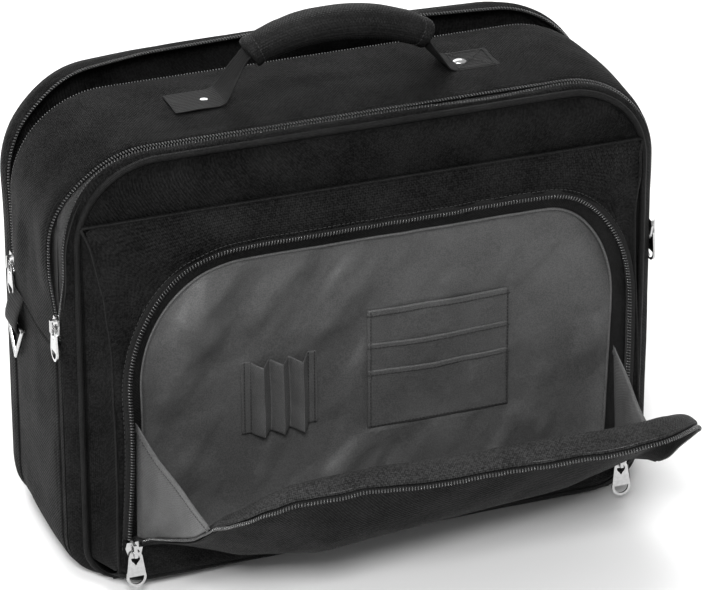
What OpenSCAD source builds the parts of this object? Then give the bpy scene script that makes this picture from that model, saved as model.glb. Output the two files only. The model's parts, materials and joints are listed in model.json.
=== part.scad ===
// Soft flight bag: centre gusset, two zipped compartments, a drop-front organiser pocket and a top handle.
// +X is the bag's right seen from the front, -Y is the front, +Z is up, and the floor is z = 0.

/* [Bag body] */
// Width across the side gussets
body_w = 430; // [400:5:460]
// Height from the floor to the top gusset
body_h = 318; // [300:1:340]
// Radius of the two top corners
top_r = 66; // [50:1:80]
// Radius of the two bottom corners
bottom_r = 32; // [24:1:40]
// Thickness of a fabric wall with its backing
wall = 2; // [1.5:0.5:2.5]

/* [Depths] */
// Outer face of the front panel
front_y = -60; // [-70:1:-58]
// Centre line of the front compartment's zip
front_zip_y = -46; // [-47:1:-45]
// Centre line of the main compartment's zip
rear_zip_y = 57; // [55:1:60]
// Outer face of the rear panel
rear_y = 82; // [78:1:90]
// How far the front panel's outline is drawn in
front_inset = 10; // [8:1:12]
// Height at which both lids fold
fold_z = 180; // [175:1:185]
// How far the main compartment's lid stands open
rear_open = 12; // [4:1:18]

/* [Front pocket] */
// How far the pocket's foot stands in front of the front panel
pocket_reach = 32; // [26:1:36]
// Height of the pocket's top seam
pocket_top = 274; // [268:1:278]
// Height of the pocket's bottom edge
pocket_foot = 13; // [10:1:18]
// Half width of the pocket's front
pocket_half = 190; // [186:1:192]
// Half width of the zipped opening
mouth_half = 180; // [174:1:181]
// Top of the zipped opening, measured up the slope
mouth_top = 243; // [236:1:246]
// Bottom of the zipped opening, where the flap folds
mouth_foot = 40; // [36:1:44]
// Corner radius of the zipped opening
mouth_r = 80; // [70:1:85]
// How far the flap drops open from the pocket's front
flap_open = 60; // [20:1:62]
// Length of the side web up the opening's edge
web_up = 118; // [90:1:120]
// Length of the side web along the flap
web_out = 155; // [120:1:160]

/* [Zips] */
// Width of one half of the coil chain
chain_w = 2.2; // [1.8:0.1:2.6]
// Gap between the two halves, which the slider's post fills
chain_gap = 1.6; // [1.4:0.1:2]
// How far the chain stands proud of the fabric
chain_proud = 1; // [0.8:0.1:1.2]
// Height of the bottom end of the compartment zips
zip_foot_z = 184; // [183:1:188]
// Height of the compartment sliders
slider_z = 197; // [196:1:205]
// Height of the pocket sliders up the slope
pocket_slider_s = 39; // [38:1:40]

/* [Handle and rings] */
// Distance from the middle to each handle rivet
rivet_x = 93; // [88:1:98]
// Depth position of the handle's middle
handle_y = 5; // [0:1:10]
// Width of the handle webbing
strap_w = 30; // [25:1:32]
// Height of the grip's lowest point above the top gusset
grip_clear = 31; // [28:1:36]
// Depth position of the side rings
ring_y = 44; // [30:1:46]
// Thickness of the ring's wire
ring_wire = 3.2; // [2.6:0.1:3.6]

/* [Hidden] */
$fn = 64;

black_cloth = [0.05, 0.05, 0.055];
lining_cloth = [0.13, 0.13, 0.14];
webbing = [0.07, 0.07, 0.075];
nylon = [0.1, 0.1, 0.1];
board = [0.35, 0.33, 0.3];
nickel = [0.8, 0.8, 0.82];

half_w = body_w / 2;
hair = 0.1;                                   // gap between neighbours that are sewn together
big = 1000;
chain_out = chain_gap / 2 + chain_w;          // outer edge of a chain half from the zip's centre line
centre_front_y = front_zip_y + chain_out;
centre_rear_y = rear_zip_y - chain_out;
divider_y = -36;
fold_gap = 0.4;
pocket_fold_gap = 16;                         // the pocket creases over this height when the lid folds
slope_y = front_y - pocket_reach;
slope = atan((pocket_reach - 2) / pocket_top);
slope_top = pocket_top / cos(slope);
lining_t = 0.8;
piping_t = 2.6;
flap_start = mouth_foot + 2;
handle_axis_z = body_h + 3;
plate_t = 1.2;                                // slider's plates
plate_gap = 0.3;
pull_t = 1.4;
pivot_out = chain_proud + plate_gap + plate_t + 1.2;  // the pull's rod, out from the fabric

// ---- shared shapes ----

// The bag's outline seen from the front, grown by g, with height as the plane's second axis
module outline(g = 0) {
    w = half_w + g;
    translate([-w, bottom_r]) square([2 * w, body_h - bottom_r - top_r]);
    translate([-(half_w - top_r), body_h - top_r - 1]) square([2 * (half_w - top_r), top_r + g + 1]);
    translate([-(half_w - bottom_r), -g]) square([2 * (half_w - bottom_r), bottom_r + g + 1]);
    for (side = [-1, 1]) {
        translate([side * (half_w - top_r), body_h - top_r]) circle(top_r + g);
        translate([side * (half_w - bottom_r), bottom_r]) circle(bottom_r + g);
    }
}

// A flat shape drawn in X and Z, given depth from y0 back to y1
module stand(y0, y1) {
    rotate([90, 0, 0]) translate([0, 0, -y1]) linear_extrude(y1 - y0) children();
}

// A ring that follows the outline, between two growths, from y0 to y1
module band(y0, y1, outer, inner) {
    stand(y0, y1) difference() {
        outline(outer);
        outline(inner);
    }
}

module above(z) {
    intersection() {
        children();
        translate([-big / 2, -big / 2, z]) cube(big);
    }
}

module below(z) {
    intersection() {
        children();
        translate([-big / 2, -big / 2, z - big]) cube(big);
    }
}

// The main lid as it stands, swung back about its fold in the rear panel
module swung_lid() {
    translate([0, rear_y, fold_z]) rotate([-rear_open, 0, 0]) translate([0, -rear_y, -fold_z]) children();
}

// The sloping front of the pocket: local Z runs up the slope, local Y into the pocket
module on_slope() {
    translate([0, slope_y, 0]) rotate([-slope, 0, 0]) children();
}

// The flap as it stands, dropped forward about its fold
module dropped_flap() {
    on_slope() translate([0, 1, mouth_foot]) rotate([flap_open, 0, 0])
        translate([0, -1, -mouth_foot]) children();
}

// The zipped mouth of the pocket, grown by g
module mouth(g = 0, foot = mouth_foot) {
    shoulder = mouth_top - mouth_r;
    translate([-(mouth_half + g), foot]) square([2 * (mouth_half + g), shoulder - foot]);
    translate([-(mouth_half - mouth_r), shoulder - 1]) square([2 * (mouth_half - mouth_r), mouth_r + g + 1]);
    for (side = [-1, 1]) translate([side * (mouth_half - mouth_r), shoulder]) circle(mouth_r + g);
}

// The U of chain or facing round the mouth, between two growths
module mouth_band(outer, inner, foot) {
    difference() {
        mouth(outer, foot);
        mouth(inner, foot - 1);
    }
}

// ---- body: base, centre gusset and linings ----

// Top and sides of the bag between the two zips
module centre_gusset() {
    color(black_cloth) difference() {
        band(centre_front_y + hair, centre_rear_y - hair, 0, -wall);
        translate([-(half_w - bottom_r), -big / 2, -1]) cube([2 * (half_w - bottom_r), big, wall + 2]);
        for (side = [-1, 1]) translate([side * rivet_x, handle_y, body_h - 10]) cylinder(h = 20, r = 2.3);
    }
}

module base_panel() {
    color(black_cloth) translate([-(half_w - bottom_r) + hair, front_y + wall + hair, 0])
        cube([2 * (half_w - bottom_r - hair), rear_y - front_y - 2 * (wall + hair), wall]);
}

module base_board() {
    reach = half_w - bottom_r - 4;
    color(board) translate([-reach, divider_y + 3, wall + hair])
        cube([2 * reach, rear_y - wall - divider_y - 6, 2.5]);
}

// Wall between the front compartment and the main compartment
module divider_panel() {
    color(lining_cloth) stand(divider_y - 1, divider_y) intersection() {
        outline(-wall - 1);
        translate([-big / 2, wall + hair]) square([big, big]);
    }
}

// Thin cloth skin inside the centre gusset
module main_lining() {
    color(lining_cloth) above(bottom_r) difference() {
        band(divider_y + hair, centre_rear_y - 1, -wall - 0.15, -wall - 0.15 - lining_t);
        for (side = [-1, 1]) translate([side * rivet_x, handle_y, body_h - 10]) cylinder(h = 20, r = 8);
    }
}

// ---- rear section ----

module rear_gusset() {
    band(rear_zip_y + chain_out + hair, rear_y - wall - hair, 0, -wall);
}

module rear_gusset_lower() {
    color(black_cloth) below(fold_z - fold_gap) difference() {
        band(centre_rear_y, rear_y - wall - hair, 0, -wall);
        translate([-(half_w - bottom_r), -big / 2, -1]) cube([2 * (half_w - bottom_r), big, wall + 2]);
    }
}

module rear_gusset_upper() {
    color(black_cloth) swung_lid() above(fold_z + fold_gap) rear_gusset();
}

module rear_panel_lower() {
    color(black_cloth) below(fold_z - fold_gap) stand(rear_y - wall, rear_y) outline(0);
}

module rear_panel_upper() {
    color(black_cloth) swung_lid() above(fold_z + fold_gap) stand(rear_y - wall, rear_y) outline(0);
}

module rear_piping() {
    band(rear_y - piping_t, rear_y + 0.6, piping_t - 0.6, hair);
}

module rear_piping_lower() {
    color(black_cloth) below(fold_z - 1) above(bottom_r / 2) rear_piping();
}

module rear_piping_upper() {
    color(black_cloth) swung_lid() above(fold_z + 1) rear_piping();
}

// ---- front section ----

// The strip between the front zip and the piping, with the step that draws it in
module front_gusset() {
    step_y = front_zip_y - chain_out - 1.5;
    band(step_y, step_y + 1.5, 0, -front_inset - wall);
    band(front_y + wall + hair, step_y + 0.01, -front_inset, -front_inset - wall);
}

module front_gusset_lower() {
    color(black_cloth) below(fold_z - fold_gap) difference() {
        union() {
            front_gusset();
            band(front_zip_y - chain_out - 0.01, centre_front_y, 0, -wall);
        }
        translate([-(half_w - bottom_r), -big / 2, -1]) cube([2 * (half_w - bottom_r), big, wall + 1.2]);
    }
}

module front_gusset_upper() {
    color(black_cloth) above(fold_z + fold_gap) front_gusset();
}

module front_panel_lower() {
    color(black_cloth) below(fold_z - fold_gap) stand(front_y, front_y + wall) outline(-front_inset);
}

module front_panel_upper() {
    color(black_cloth) above(fold_z + fold_gap) stand(front_y, front_y + wall) outline(-front_inset);
}

module front_piping() {
    band(front_y - 0.6, front_y + piping_t - 0.6, -front_inset + piping_t, -front_inset + hair);
}

module front_piping_lower() {
    color(black_cloth) below(fold_z - 1) front_piping();
}

module front_piping_upper() {
    color(black_cloth) above(fold_z + 1) front_piping();
}

// ---- compartment zips ----

module zip_chain(y0, y1) {
    band(y0, y1, chain_proud, -wall);
}

module front_zip_body_chain() {
    color(nylon) above(zip_foot_z) zip_chain(front_zip_y + chain_gap / 2, centre_front_y);
}

module front_zip_lid_chain() {
    color(nylon) above(zip_foot_z) zip_chain(front_zip_y - chain_out, front_zip_y - chain_gap / 2);
}

module rear_zip_body_chain() {
    color(nylon) above(zip_foot_z) zip_chain(centre_rear_y, rear_zip_y - chain_gap / 2);
}

module rear_zip_lid_chain() {
    color(nylon) swung_lid() above(zip_foot_z) zip_chain(rear_zip_y + chain_gap / 2, rear_zip_y + chain_out);
}

// ---- pocket ----

module pocket_face() {
    on_slope() stand(0, wall) difference() {
        translate([-pocket_half, pocket_foot]) square([2 * pocket_half, slope_top - pocket_foot]);
        mouth(chain_out + hair, mouth_foot);
        translate([-(mouth_half + chain_out + hair), mouth_foot - 2])
            square([2 * (mouth_half + chain_out + hair), 4]);
    }
}

module pocket_face_lower() {
    color(black_cloth) below(fold_z - pocket_fold_gap / 2) pocket_face();
}

module pocket_face_upper() {
    color(black_cloth) above(fold_z + pocket_fold_gap / 2) pocket_face();
}

// The two wedge-shaped side gussets
module pocket_sides() {
    inner = wall / cos(slope) + hair;
    for (side = [-1, 1]) translate([side * (pocket_half - wall / 2), 0, 0])
        rotate([90, 0, 90]) linear_extrude(wall, center = true) polygon([
            [front_y - hair, pocket_foot + 1],
            [slope_y + inner + pocket_foot * tan(slope), pocket_foot + 1],
            [front_y - hair, (pocket_reach - hair - inner) / tan(slope)]
        ]);
}

module pocket_sides_lower() {
    color(black_cloth) below(fold_z - pocket_fold_gap / 2) pocket_sides();
}

module pocket_sides_upper() {
    color(black_cloth) above(fold_z + pocket_fold_gap / 2) pocket_sides();
}

module pocket_bottom() {
    reach = pocket_half - wall - hair;
    depth = pocket_reach - wall - 2.4;
    color(black_cloth) translate([-reach, front_y - hair - depth, pocket_foot + 1])
        cube([2 * reach, depth, wall]);
}

module pocket_zip_frame() {
    on_slope() stand(-chain_proud, wall) mouth_band(chain_out, chain_gap / 2, mouth_foot + 7);
}

module pocket_zip_frame_lower() {
    color(nylon) below(fold_z - pocket_fold_gap / 2) pocket_zip_frame();
}

module pocket_zip_frame_upper() {
    color(nylon) above(fold_z + pocket_fold_gap / 2) pocket_zip_frame();
}

// Cloth back of the organiser, on the front panel
module organiser(z0, z1) {
    reach = pocket_half - wall - 2;
    translate([-reach, front_y - 0.3 - lining_t, z0]) cube([2 * reach, lining_t, z1 - z0]);
}

module organiser_lower() {
    color(lining_cloth) organiser(pocket_foot + wall + 2, fold_z - 1);
}

module organiser_upper() {
    color(lining_cloth) organiser(fold_z + 1, pocket_top - 24);
}

organiser_face = front_y - 0.3 - lining_t;
card_x = 0;
card_w = 104.5;
card_foot = 86;
card_h = 89;

module card_pocket_back() {
    color(lining_cloth) translate([card_x, organiser_face - hair - lining_t, card_foot])
        cube([card_w, lining_t, card_h]);
}

// The two lower tiers, each in front of the one behind
module card_pocket_tiers() {
    for (tier = [1, 2]) color(lining_cloth)
        translate([card_x, organiser_face - (tier + 1) * (hair + lining_t), card_foot])
            cube([card_w, lining_t, card_h - 4 - 20.5 * tier]);
}

pen_x = -92;
pen_w = 55;
pen_foot = 98;
pen_h = 54;
pen_count = 3;
pen_pitch = 14;
pen_tube_r = 5.2;

// Three standing tubes sewn to a strip
module pen_loops() {
    color(lining_cloth) {
        translate([pen_x, organiser_face - hair - lining_t, pen_foot]) cube([pen_w, lining_t, pen_h]);
        for (i = [0:pen_count - 1])
            translate([pen_x + pen_w / 2 + (i - 1) * pen_pitch, organiser_face - pen_tube_r, pen_foot])
                difference() {
                    cylinder(h = pen_h, r = pen_tube_r);
                    translate([0, 0, -1]) cylinder(h = pen_h + 2, r = pen_tube_r - lining_t);
                    translate([-10, pen_tube_r - hair - lining_t / 2, -1]) cube([20, 10, pen_h + 2]);
                }
    }
}

// ---- flap ----

flap_notch = 28;
facing_w = 20;
facing_foot = mouth_foot + 100;
web_clear = 5.5;
web_root = 12;

// The flap's cut shape, notched beside the fold so that it clears the sliders
module flap_plan() {
    reach = slider_top_w / 2 + 1;
    difference() {
        mouth(-chain_out - hair, flap_start);
        for (side = [-1, 1]) translate([side * mouth_half - reach, flap_start - 1])
            square([2 * reach, flap_notch + 1]);
    }
}

module flap_panel() {
    color(black_cloth) dropped_flap() stand(0, wall) flap_plan();
}

module flap_lining() {
    color(lining_cloth) dropped_flap() stand(wall + hair, wall + hair + lining_t) flap_plan();
}

// Band of outer cloth that faces the flap's inner edge
module flap_facing() {
    color(black_cloth) dropped_flap() stand(wall + 2 * hair + lining_t, wall + 2 * hair + 2 * lining_t)
        difference() {
            mouth(-chain_out - hair, facing_foot);
            translate([0, -facing_w]) mouth(-chain_out - hair, facing_foot);
            translate([-big / 2, 0]) square([big, facing_foot + 1]);
        }
}

module flap_zip_chain() {
    color(nylon) dropped_flap() stand(-chain_proud, wall)
        mouth_band(-chain_gap / 2, -chain_out, mouth_foot + 25);
}

// Triangle of cloth that stops the flap, from the opening's edge to the flap's edge
module web(side) {
    lift = wall + 3 * lining_t;
    fold_y = 1 + lift * cos(flap_open);
    fold_s = lift * sin(flap_open);
    on_slope() translate([side * (mouth_half - chain_out - web_clear), 0, mouth_foot])
        rotate([90, 0, 90]) linear_extrude(lining_t, center = true) polygon([
            [wall, web_up],
            [wall, web_root / 2],
            [fold_y - web_root * sin(flap_open), fold_s + web_root * cos(flap_open)],
            [fold_y - web_out * sin(flap_open), fold_s + web_out * cos(flap_open)]
        ]);
}

module left_web() {
    color(lining_cloth) web(-1);
}

module right_web() {
    color(lining_cloth) web(1);
}

// ---- handle ----

tab_t = 1.8;
tab_out = 26;
tab_in = 8;

// Webbing ends that lie flat on the top gusset
module handle_tabs() {
    color(webbing) for (side = [-1, 1]) difference() {
        translate([side * (rivet_x + (tab_out - tab_in) / 2), handle_y, body_h + hair + tab_t / 2])
            cube([tab_out + tab_in, strap_w, tab_t], center = true);
        translate([side * rivet_x, handle_y, body_h - 1]) cylinder(h = 10, r = 2.3);
    }
}

module handle_rivets() {
    color(nickel) for (side = [-1, 1]) translate([side * rivet_x, handle_y, 0]) {
        translate([0, 0, body_h - wall - lining_t - 0.6]) cylinder(h = wall + tab_t + 1.5, r = 2.2);
        translate([0, 0, body_h + 2 * hair + tab_t]) intersection() {
            cylinder(h = 2.2, r = 6);
            translate([0, 0, -6.9]) sphere(9.1);
        }
    }
}

// Washers that hold the rivets inside the bag
module rivet_backs() {
    color(nickel) for (side = [-1, 1]) translate([side * rivet_x, handle_y, body_h - wall - 1.4])
        difference() {
            cylinder(h = 1.2, r = 7);
            translate([0, 0, -1]) cylinder(h = 4, r = 2.25);
        }
}

grip_x = 66;
grip_arch = 14;
grip_r = 10.5;
grip_arc_r = (grip_x * grip_x + grip_arch * grip_arch) / (2 * grip_arch);
grip_half_angle = asin(grip_x / grip_arc_r);
grip_mid_z = body_h + grip_clear + grip_r;
leg_foot_x = rivet_x - tab_in - 2;

// Padded sleeve, arched like the webbing inside it
module handle_grip() {
    color(black_cloth) translate([0, handle_y, grip_mid_z - grip_arc_r]) rotate([90, 0, 0])
        rotate([0, 0, 90 - grip_half_angle]) rotate_extrude(angle = 2 * grip_half_angle, $fn = 96)
            translate([grip_arc_r, 0]) difference() {
                circle(grip_r, $fn = 40);
                square([3, 18], center = true);
            }
}

// Webbing from rivet to rivet: it tapers at the fold and runs through the grip
module handle_legs() {
    end_z = grip_mid_z - grip_arch;
    foot_z = handle_axis_z - 0.5;
    run = leg_foot_x - grip_x;
    color(webbing) {
        for (side = [-1, 1]) intersection() {
            translate([0, handle_y + strap_w / 2, 0]) rotate([90, 0, 0]) linear_extrude(strap_w) polygon([
                [side * (leg_foot_x - 1), foot_z],
                [side * (leg_foot_x + 1), foot_z],
                [side * (grip_x + 1.6), end_z + 1],
                [side * (grip_x - 0.6), end_z + 1]
            ]);
            translate([side * (grip_x + run / 2) - 20, handle_y, 0]) rotate([90, 0, 90])
                linear_extrude(40) polygon([
                    [-3, foot_z - 1],
                    [3, foot_z - 1],
                    [8.5, end_z + 2],
                    [-8.5, end_z + 2]
                ]);
        }
        translate([0, handle_y, grip_mid_z - grip_arc_r]) rotate([90, 0, 0])
            rotate([0, 0, 90 - grip_half_angle]) rotate_extrude(angle = 2 * grip_half_angle, $fn = 96)
                translate([grip_arc_r, 0]) square([2.4, 17.2], center = true);
    }
}

// ---- sliders and pulls ----
// Local frame: the fabric's face is y = 0, outward is -y, and the slider travels up +z.

slider_l = 13;
slider_top_w = 12.4;
slider_foot_w = 8.4;
inner_plate_w = 5.6;

module slider_plan() {
    polygon([
        [-slider_foot_w / 2, -slider_l / 2],
        [slider_foot_w / 2, -slider_l / 2],
        [slider_top_w / 2, 1.5],
        [slider_top_w / 2 - 1.2, slider_l / 2 - 1],
        [1, slider_l / 2 - 1],
        [0, slider_l / 2 - 2.4],
        [-1, slider_l / 2 - 1],
        [-slider_top_w / 2 + 1.2, slider_l / 2 - 1],
        [-slider_top_w / 2, 1.5]
    ]);
}

// A plate outside and a narrow one inside, joined by a post between the chains, and an arch for the pull
module slider() {
    face = -(chain_proud + plate_gap);
    arch_foot_z = -5.2;
    arch_top_z = 4;
    arch_t = 1.3;
    arch_rise = 3.9;
    arch_y = face - plate_t - arch_rise;
    color(nickel) {
        stand(face - plate_t, face) slider_plan();
        stand(wall + plate_gap, wall + plate_gap + 1) square([inner_plate_w, slider_l - 2], center = true);
        translate([-0.5, face - 0.1, 1.6]) cube([1, wall - face + plate_gap + 0.2, 2.4]);
        for (z = [arch_foot_z, arch_top_z - arch_t]) translate([-1.1, arch_y, z])
            cube([2.2, arch_rise + 0.1, arch_t]);
        translate([-1.1, arch_y, arch_foot_z]) cube([2.2, arch_t, arch_top_z - arch_foot_z]);
    }
}

pull_pivot_z = -2;
pull_l = 25;
pull_end_r = 7;
pull_rod_r = 0.9;

module pull_plan() {
    end_z = -(pull_l - pull_end_r);
    difference() {
        union() {
            polygon([
                [-3.4, 0.5], [3.4, 0.5], [4.9, -2.4],
                [pull_end_r, end_z], [-pull_end_r, end_z], [-4.9, -2.4]
            ]);
            translate([0, end_z]) circle(pull_end_r);
        }
        translate([0, -4.2]) circle(3.1);
        polygon([[-3.05, -4.6], [3.05, -4.6], [0, -9.2]]);
        intersection() {
            translate([0, end_z]) circle(pull_end_r - 1.8);
            translate([-10, end_z - 10]) square([20, 10.6]);
        }
    }
}

// Flat tab that hangs from a rod under the slider's arch
module pull() {
    color(nickel) translate([0, -pivot_out, pull_pivot_z]) {
        stand(-pull_t / 2, pull_t / 2) pull_plan();
        translate([-3.2, 0, 0]) rotate([0, 90, 0]) cylinder(h = 6.4, r = pull_rod_r);
    }
}

// side -1 is the left of the bag, 1 the right
module at_side(side, y) {
    translate([side * half_w, y, slider_z]) rotate([0, 0, side * 90]) children();
}

module at_mouth(side) {
    on_slope() translate([side * mouth_half, 0, pocket_slider_s]) children();
}

module slider_front_left() { at_side(-1, front_zip_y) slider(); }
module slider_front_right() { at_side(1, front_zip_y) slider(); }
module slider_rear_left() { at_side(-1, rear_zip_y) slider(); }
module slider_rear_right() { at_side(1, rear_zip_y) slider(); }
module slider_pocket_left() { at_mouth(-1) slider(); }
module slider_pocket_right() { at_mouth(1) slider(); }
module pull_front_left() { at_side(-1, front_zip_y) pull(); }
module pull_front_right() { at_side(1, front_zip_y) pull(); }
module pull_rear_left() { at_side(-1, rear_zip_y) pull(); }
module pull_rear_right() { at_side(1, rear_zip_y) pull(); }
module pull_pocket_left() { at_mouth(-1) pull(); }
module pull_pocket_right() { at_mouth(1) pull(); }

// ---- side rings ----

tab_w = 26;
ring_half_bar = 18.4;
ring_axis_z = 157;
ring_axis_out = 5.5;
ring_drop = 27;
tab_loop_r = ring_wire / 2 + 0.4;

// Webbing sewn flat to the side and folded round the ring's bar
module ring_tab(side) {
    color(webbing) translate([side * half_w, ring_y, ring_axis_z]) rotate([0, 0, side * 90]) {
        translate([-tab_w / 2, -1.9, tab_loop_r - 0.5]) cube([tab_w, 1.8, 22]);
        translate([-tab_w / 2, -ring_axis_out, 0]) rotate([0, 90, 0]) difference() {
            cylinder(h = tab_w, r = tab_loop_r + 1.4);
            translate([0, 0, -1]) cylinder(h = tab_w + 2, r = tab_loop_r);
        }
    }
}

// Triangle of wire: a straight bar through the webbing and two limbs that meet below
module ring(side) {
    limb = sqrt(ring_half_bar * ring_half_bar + ring_drop * ring_drop);
    lean = atan(ring_half_bar / ring_drop);
    r = ring_wire / 2;
    past = 0.9;
    color(nickel) translate([side * (half_w + ring_axis_out), ring_y, ring_axis_z]) {
        translate([0, -ring_half_bar - past, 0]) rotate([-90, 0, 0])
            cylinder(h = 2 * (ring_half_bar + past), r = r);
        for (end = [-1, 1]) translate([0, 0, -ring_drop]) rotate([-end * lean, 0, 0])
            translate([0, 0, -past]) cylinder(h = limb + 1.5 * past, r = r);
    }
}

module ring_tab_left() { ring_tab(-1); }
module ring_tab_right() { ring_tab(1); }
module ring_left() { ring(-1); }
module ring_right() { ring(1); }

centre_gusset();
base_panel();
base_board();
divider_panel();
main_lining();
rear_gusset_lower();
rear_panel_lower();
rear_piping_lower();
front_gusset_lower();
front_panel_lower();
front_piping_lower();
front_zip_body_chain();
rear_zip_body_chain();
pocket_face_lower();
pocket_sides_lower();
pocket_bottom();
pocket_zip_frame_lower();
organiser_lower();
card_pocket_back();
card_pocket_tiers();
pen_loops();
ring_tab_left();
ring_tab_right();
handle_tabs();
handle_rivets();
rivet_backs();
front_gusset_upper();
front_panel_upper();
front_piping_upper();
front_zip_lid_chain();
pocket_face_upper();
pocket_sides_upper();
pocket_zip_frame_upper();
organiser_upper();
rear_gusset_upper();
rear_panel_upper();
rear_piping_upper();
rear_zip_lid_chain();
flap_panel();
flap_lining();
flap_facing();
flap_zip_chain();
left_web();
right_web();
handle_legs();
handle_grip();
slider_front_left();
slider_front_right();
slider_rear_left();
slider_rear_right();
slider_pocket_left();
slider_pocket_right();
pull_front_left();
pull_front_right();
pull_rear_left();
pull_rear_right();
pull_pocket_left();
pull_pocket_right();
ring_left();
ring_right();
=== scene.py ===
"""The flight bag's looks: cloth walls, coil zips, stitching, linings, handle and metal parts."""
import json
import math

import bpy
import numpy as np
from mathutils import Matrix, Vector


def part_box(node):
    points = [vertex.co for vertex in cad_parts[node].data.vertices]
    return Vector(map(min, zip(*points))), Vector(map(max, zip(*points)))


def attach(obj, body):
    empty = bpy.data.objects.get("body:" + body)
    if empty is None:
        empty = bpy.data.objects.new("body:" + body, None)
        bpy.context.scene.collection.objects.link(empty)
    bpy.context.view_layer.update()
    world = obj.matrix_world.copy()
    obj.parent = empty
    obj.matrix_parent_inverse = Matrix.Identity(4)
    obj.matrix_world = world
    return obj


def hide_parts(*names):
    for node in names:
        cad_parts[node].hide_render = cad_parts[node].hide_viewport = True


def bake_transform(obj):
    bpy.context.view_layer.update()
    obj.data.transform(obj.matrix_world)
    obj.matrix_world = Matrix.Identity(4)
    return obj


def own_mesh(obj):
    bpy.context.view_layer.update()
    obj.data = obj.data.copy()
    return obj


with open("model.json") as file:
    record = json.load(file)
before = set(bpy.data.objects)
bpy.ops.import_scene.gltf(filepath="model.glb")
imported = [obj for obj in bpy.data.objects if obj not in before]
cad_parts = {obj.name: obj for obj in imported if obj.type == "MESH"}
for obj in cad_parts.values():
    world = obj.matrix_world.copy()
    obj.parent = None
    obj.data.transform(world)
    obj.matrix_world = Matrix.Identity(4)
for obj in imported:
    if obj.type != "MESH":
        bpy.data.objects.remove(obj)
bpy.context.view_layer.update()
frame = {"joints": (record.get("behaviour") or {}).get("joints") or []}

MM = 0.001                      # this script works in millimetres and writes its meshes in metres


def node_box(name):
    """Lowest and highest corner of a CAD node, in millimetres."""
    low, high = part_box(name)
    return np.array(low) / MM, np.array(high) / MM


def joint(name):
    return next(j for j in frame["joints"] if j["name"] == name)


# ---- driving sizes, from the frame ----
HALF_W = node_box("centre_gusset")[1][0]
TOP = node_box("centre_gusset")[1][2]
FRONT_Y = node_box("front_panel_lower")[0][1]
PANEL_HALF = node_box("front_panel_lower")[1][0]
REAR_Y = node_box("rear_panel_lower")[1][1]
CHAIN_GAP = 1.6
FRONT_ZIP_Y = node_box("front_zip_body_chain")[0][1] - CHAIN_GAP / 2
REAR_ZIP_Y = node_box("rear_zip_body_chain")[1][1] + CHAIN_GAP / 2
FOLD_Z = joint("rear_lid_fold")["pos_m"][2] / MM
ZIP_FOOT_Z = node_box("front_zip_body_chain")[0][2]
TOP_R = 66
FOOT_R = 32

POCKET_FOOT = node_box("pocket_face_lower")[0][2]
POCKET_TOP = node_box("pocket_face_upper")[1][2]
FACE_FOOT_Y = node_box("pocket_face_lower")[0][1]
FACE_TOP_Y = node_box("pocket_face_upper")[1][1] - 2
HINGE_Y, HINGE_Z = (v / MM for v in joint("flap_fold")["pos_m"][1:])
MOUTH_TOP = 242
FACE_SLOPE = math.atan2(FACE_TOP_Y - FACE_FOOT_Y, POCKET_TOP - POCKET_FOOT)
FLAP_RISE = math.radians(90) - (math.radians(-joint("flap_fold")["range_deg"][0]) - FACE_SLOPE)

RIVET_X = np.mean([node_box("handle_rivets")[1][0] - 6, -node_box("handle_rivets")[0][0] - 6])
HANDLE_Y = joint("handle_swing")["pos_m"][1] / MM
ORGANISER_Y = node_box("organiser_lower")[0][1]


# ---- noise and folds ----
def lattice_noise(u, v, seed):
    """Smooth value noise in [-1, 1] over a unit lattice, the same on every run."""
    rng = np.random.RandomState(seed)
    table = rng.uniform(-1, 1, (64, 64))
    iu, iv = np.floor(u).astype(int), np.floor(v).astype(int)
    fu, fv = u - iu, v - iv
    fu, fv = fu * fu * (3 - 2 * fu), fv * fv * (3 - 2 * fv)

    def corner(a, b):
        return table[(iu + a) % 64, (iv + b) % 64]

    low = corner(0, 0) * (1 - fu) + corner(1, 0) * fu
    high = corner(0, 1) * (1 - fu) + corner(1, 1) * fu
    return low * (1 - fv) + high * fv


def ripple(u, v, size, seed, stretch=1.0, angle=0.0, octaves=3):
    """Cloth undulation: noise of that size in mm, drawn out along a direction given in degrees."""
    a = math.radians(angle)
    p = (u * math.cos(a) + v * math.sin(a)) / (size * stretch)
    q = (-u * math.sin(a) + v * math.cos(a)) / size
    total = np.zeros(np.shape(u))
    for k in range(octaves):
        total += lattice_noise(p * 2 ** k + 7.3 * k, q * 2 ** k + 3.1 * k, seed + k) / 2.1 ** k
    return total


def crease(u, v, a, b, width):
    """A soft ridge of height 1 along the line from a to b, fading at both ends."""
    ax, az = a
    dx, dz = b[0] - ax, b[1] - az
    length = math.hypot(dx, dz)
    along = ((u - ax) * dx + (v - az) * dz) / length
    across = ((u - ax) * dz - (v - az) * dx) / length
    ends = np.clip(np.minimum(along, length - along) / (0.35 * length) + 0.15, 0, 1)
    ends = ends * ends * (3 - 2 * ends)
    return ends * np.exp(-(across / width) ** 2)


def smooth(x, low, high):
    t = np.clip((x - low) / (high - low), 0, 1)
    return t * t * (3 - 2 * t)


# ---- mesh makers ----
def new_object(name, verts, faces, uvs=None):
    mesh = bpy.data.meshes.new(name)
    mesh.from_pydata((np.asarray(verts) * MM).tolist(), [], faces)
    if uvs is not None:
        layer = mesh.uv_layers.new(name="cloth")
        loops = np.zeros(len(mesh.loops), int)
        mesh.loops.foreach_get("vertex_index", loops)
        layer.data.foreach_set("uv", (np.asarray(uvs)[loops] * MM).ravel())
    mesh.polygons.foreach_set("use_smooth", [True] * len(mesh.polygons))
    mesh.update()
    obj = bpy.data.objects.new(name, mesh)
    bpy.context.scene.collection.objects.link(obj)
    return obj


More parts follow.
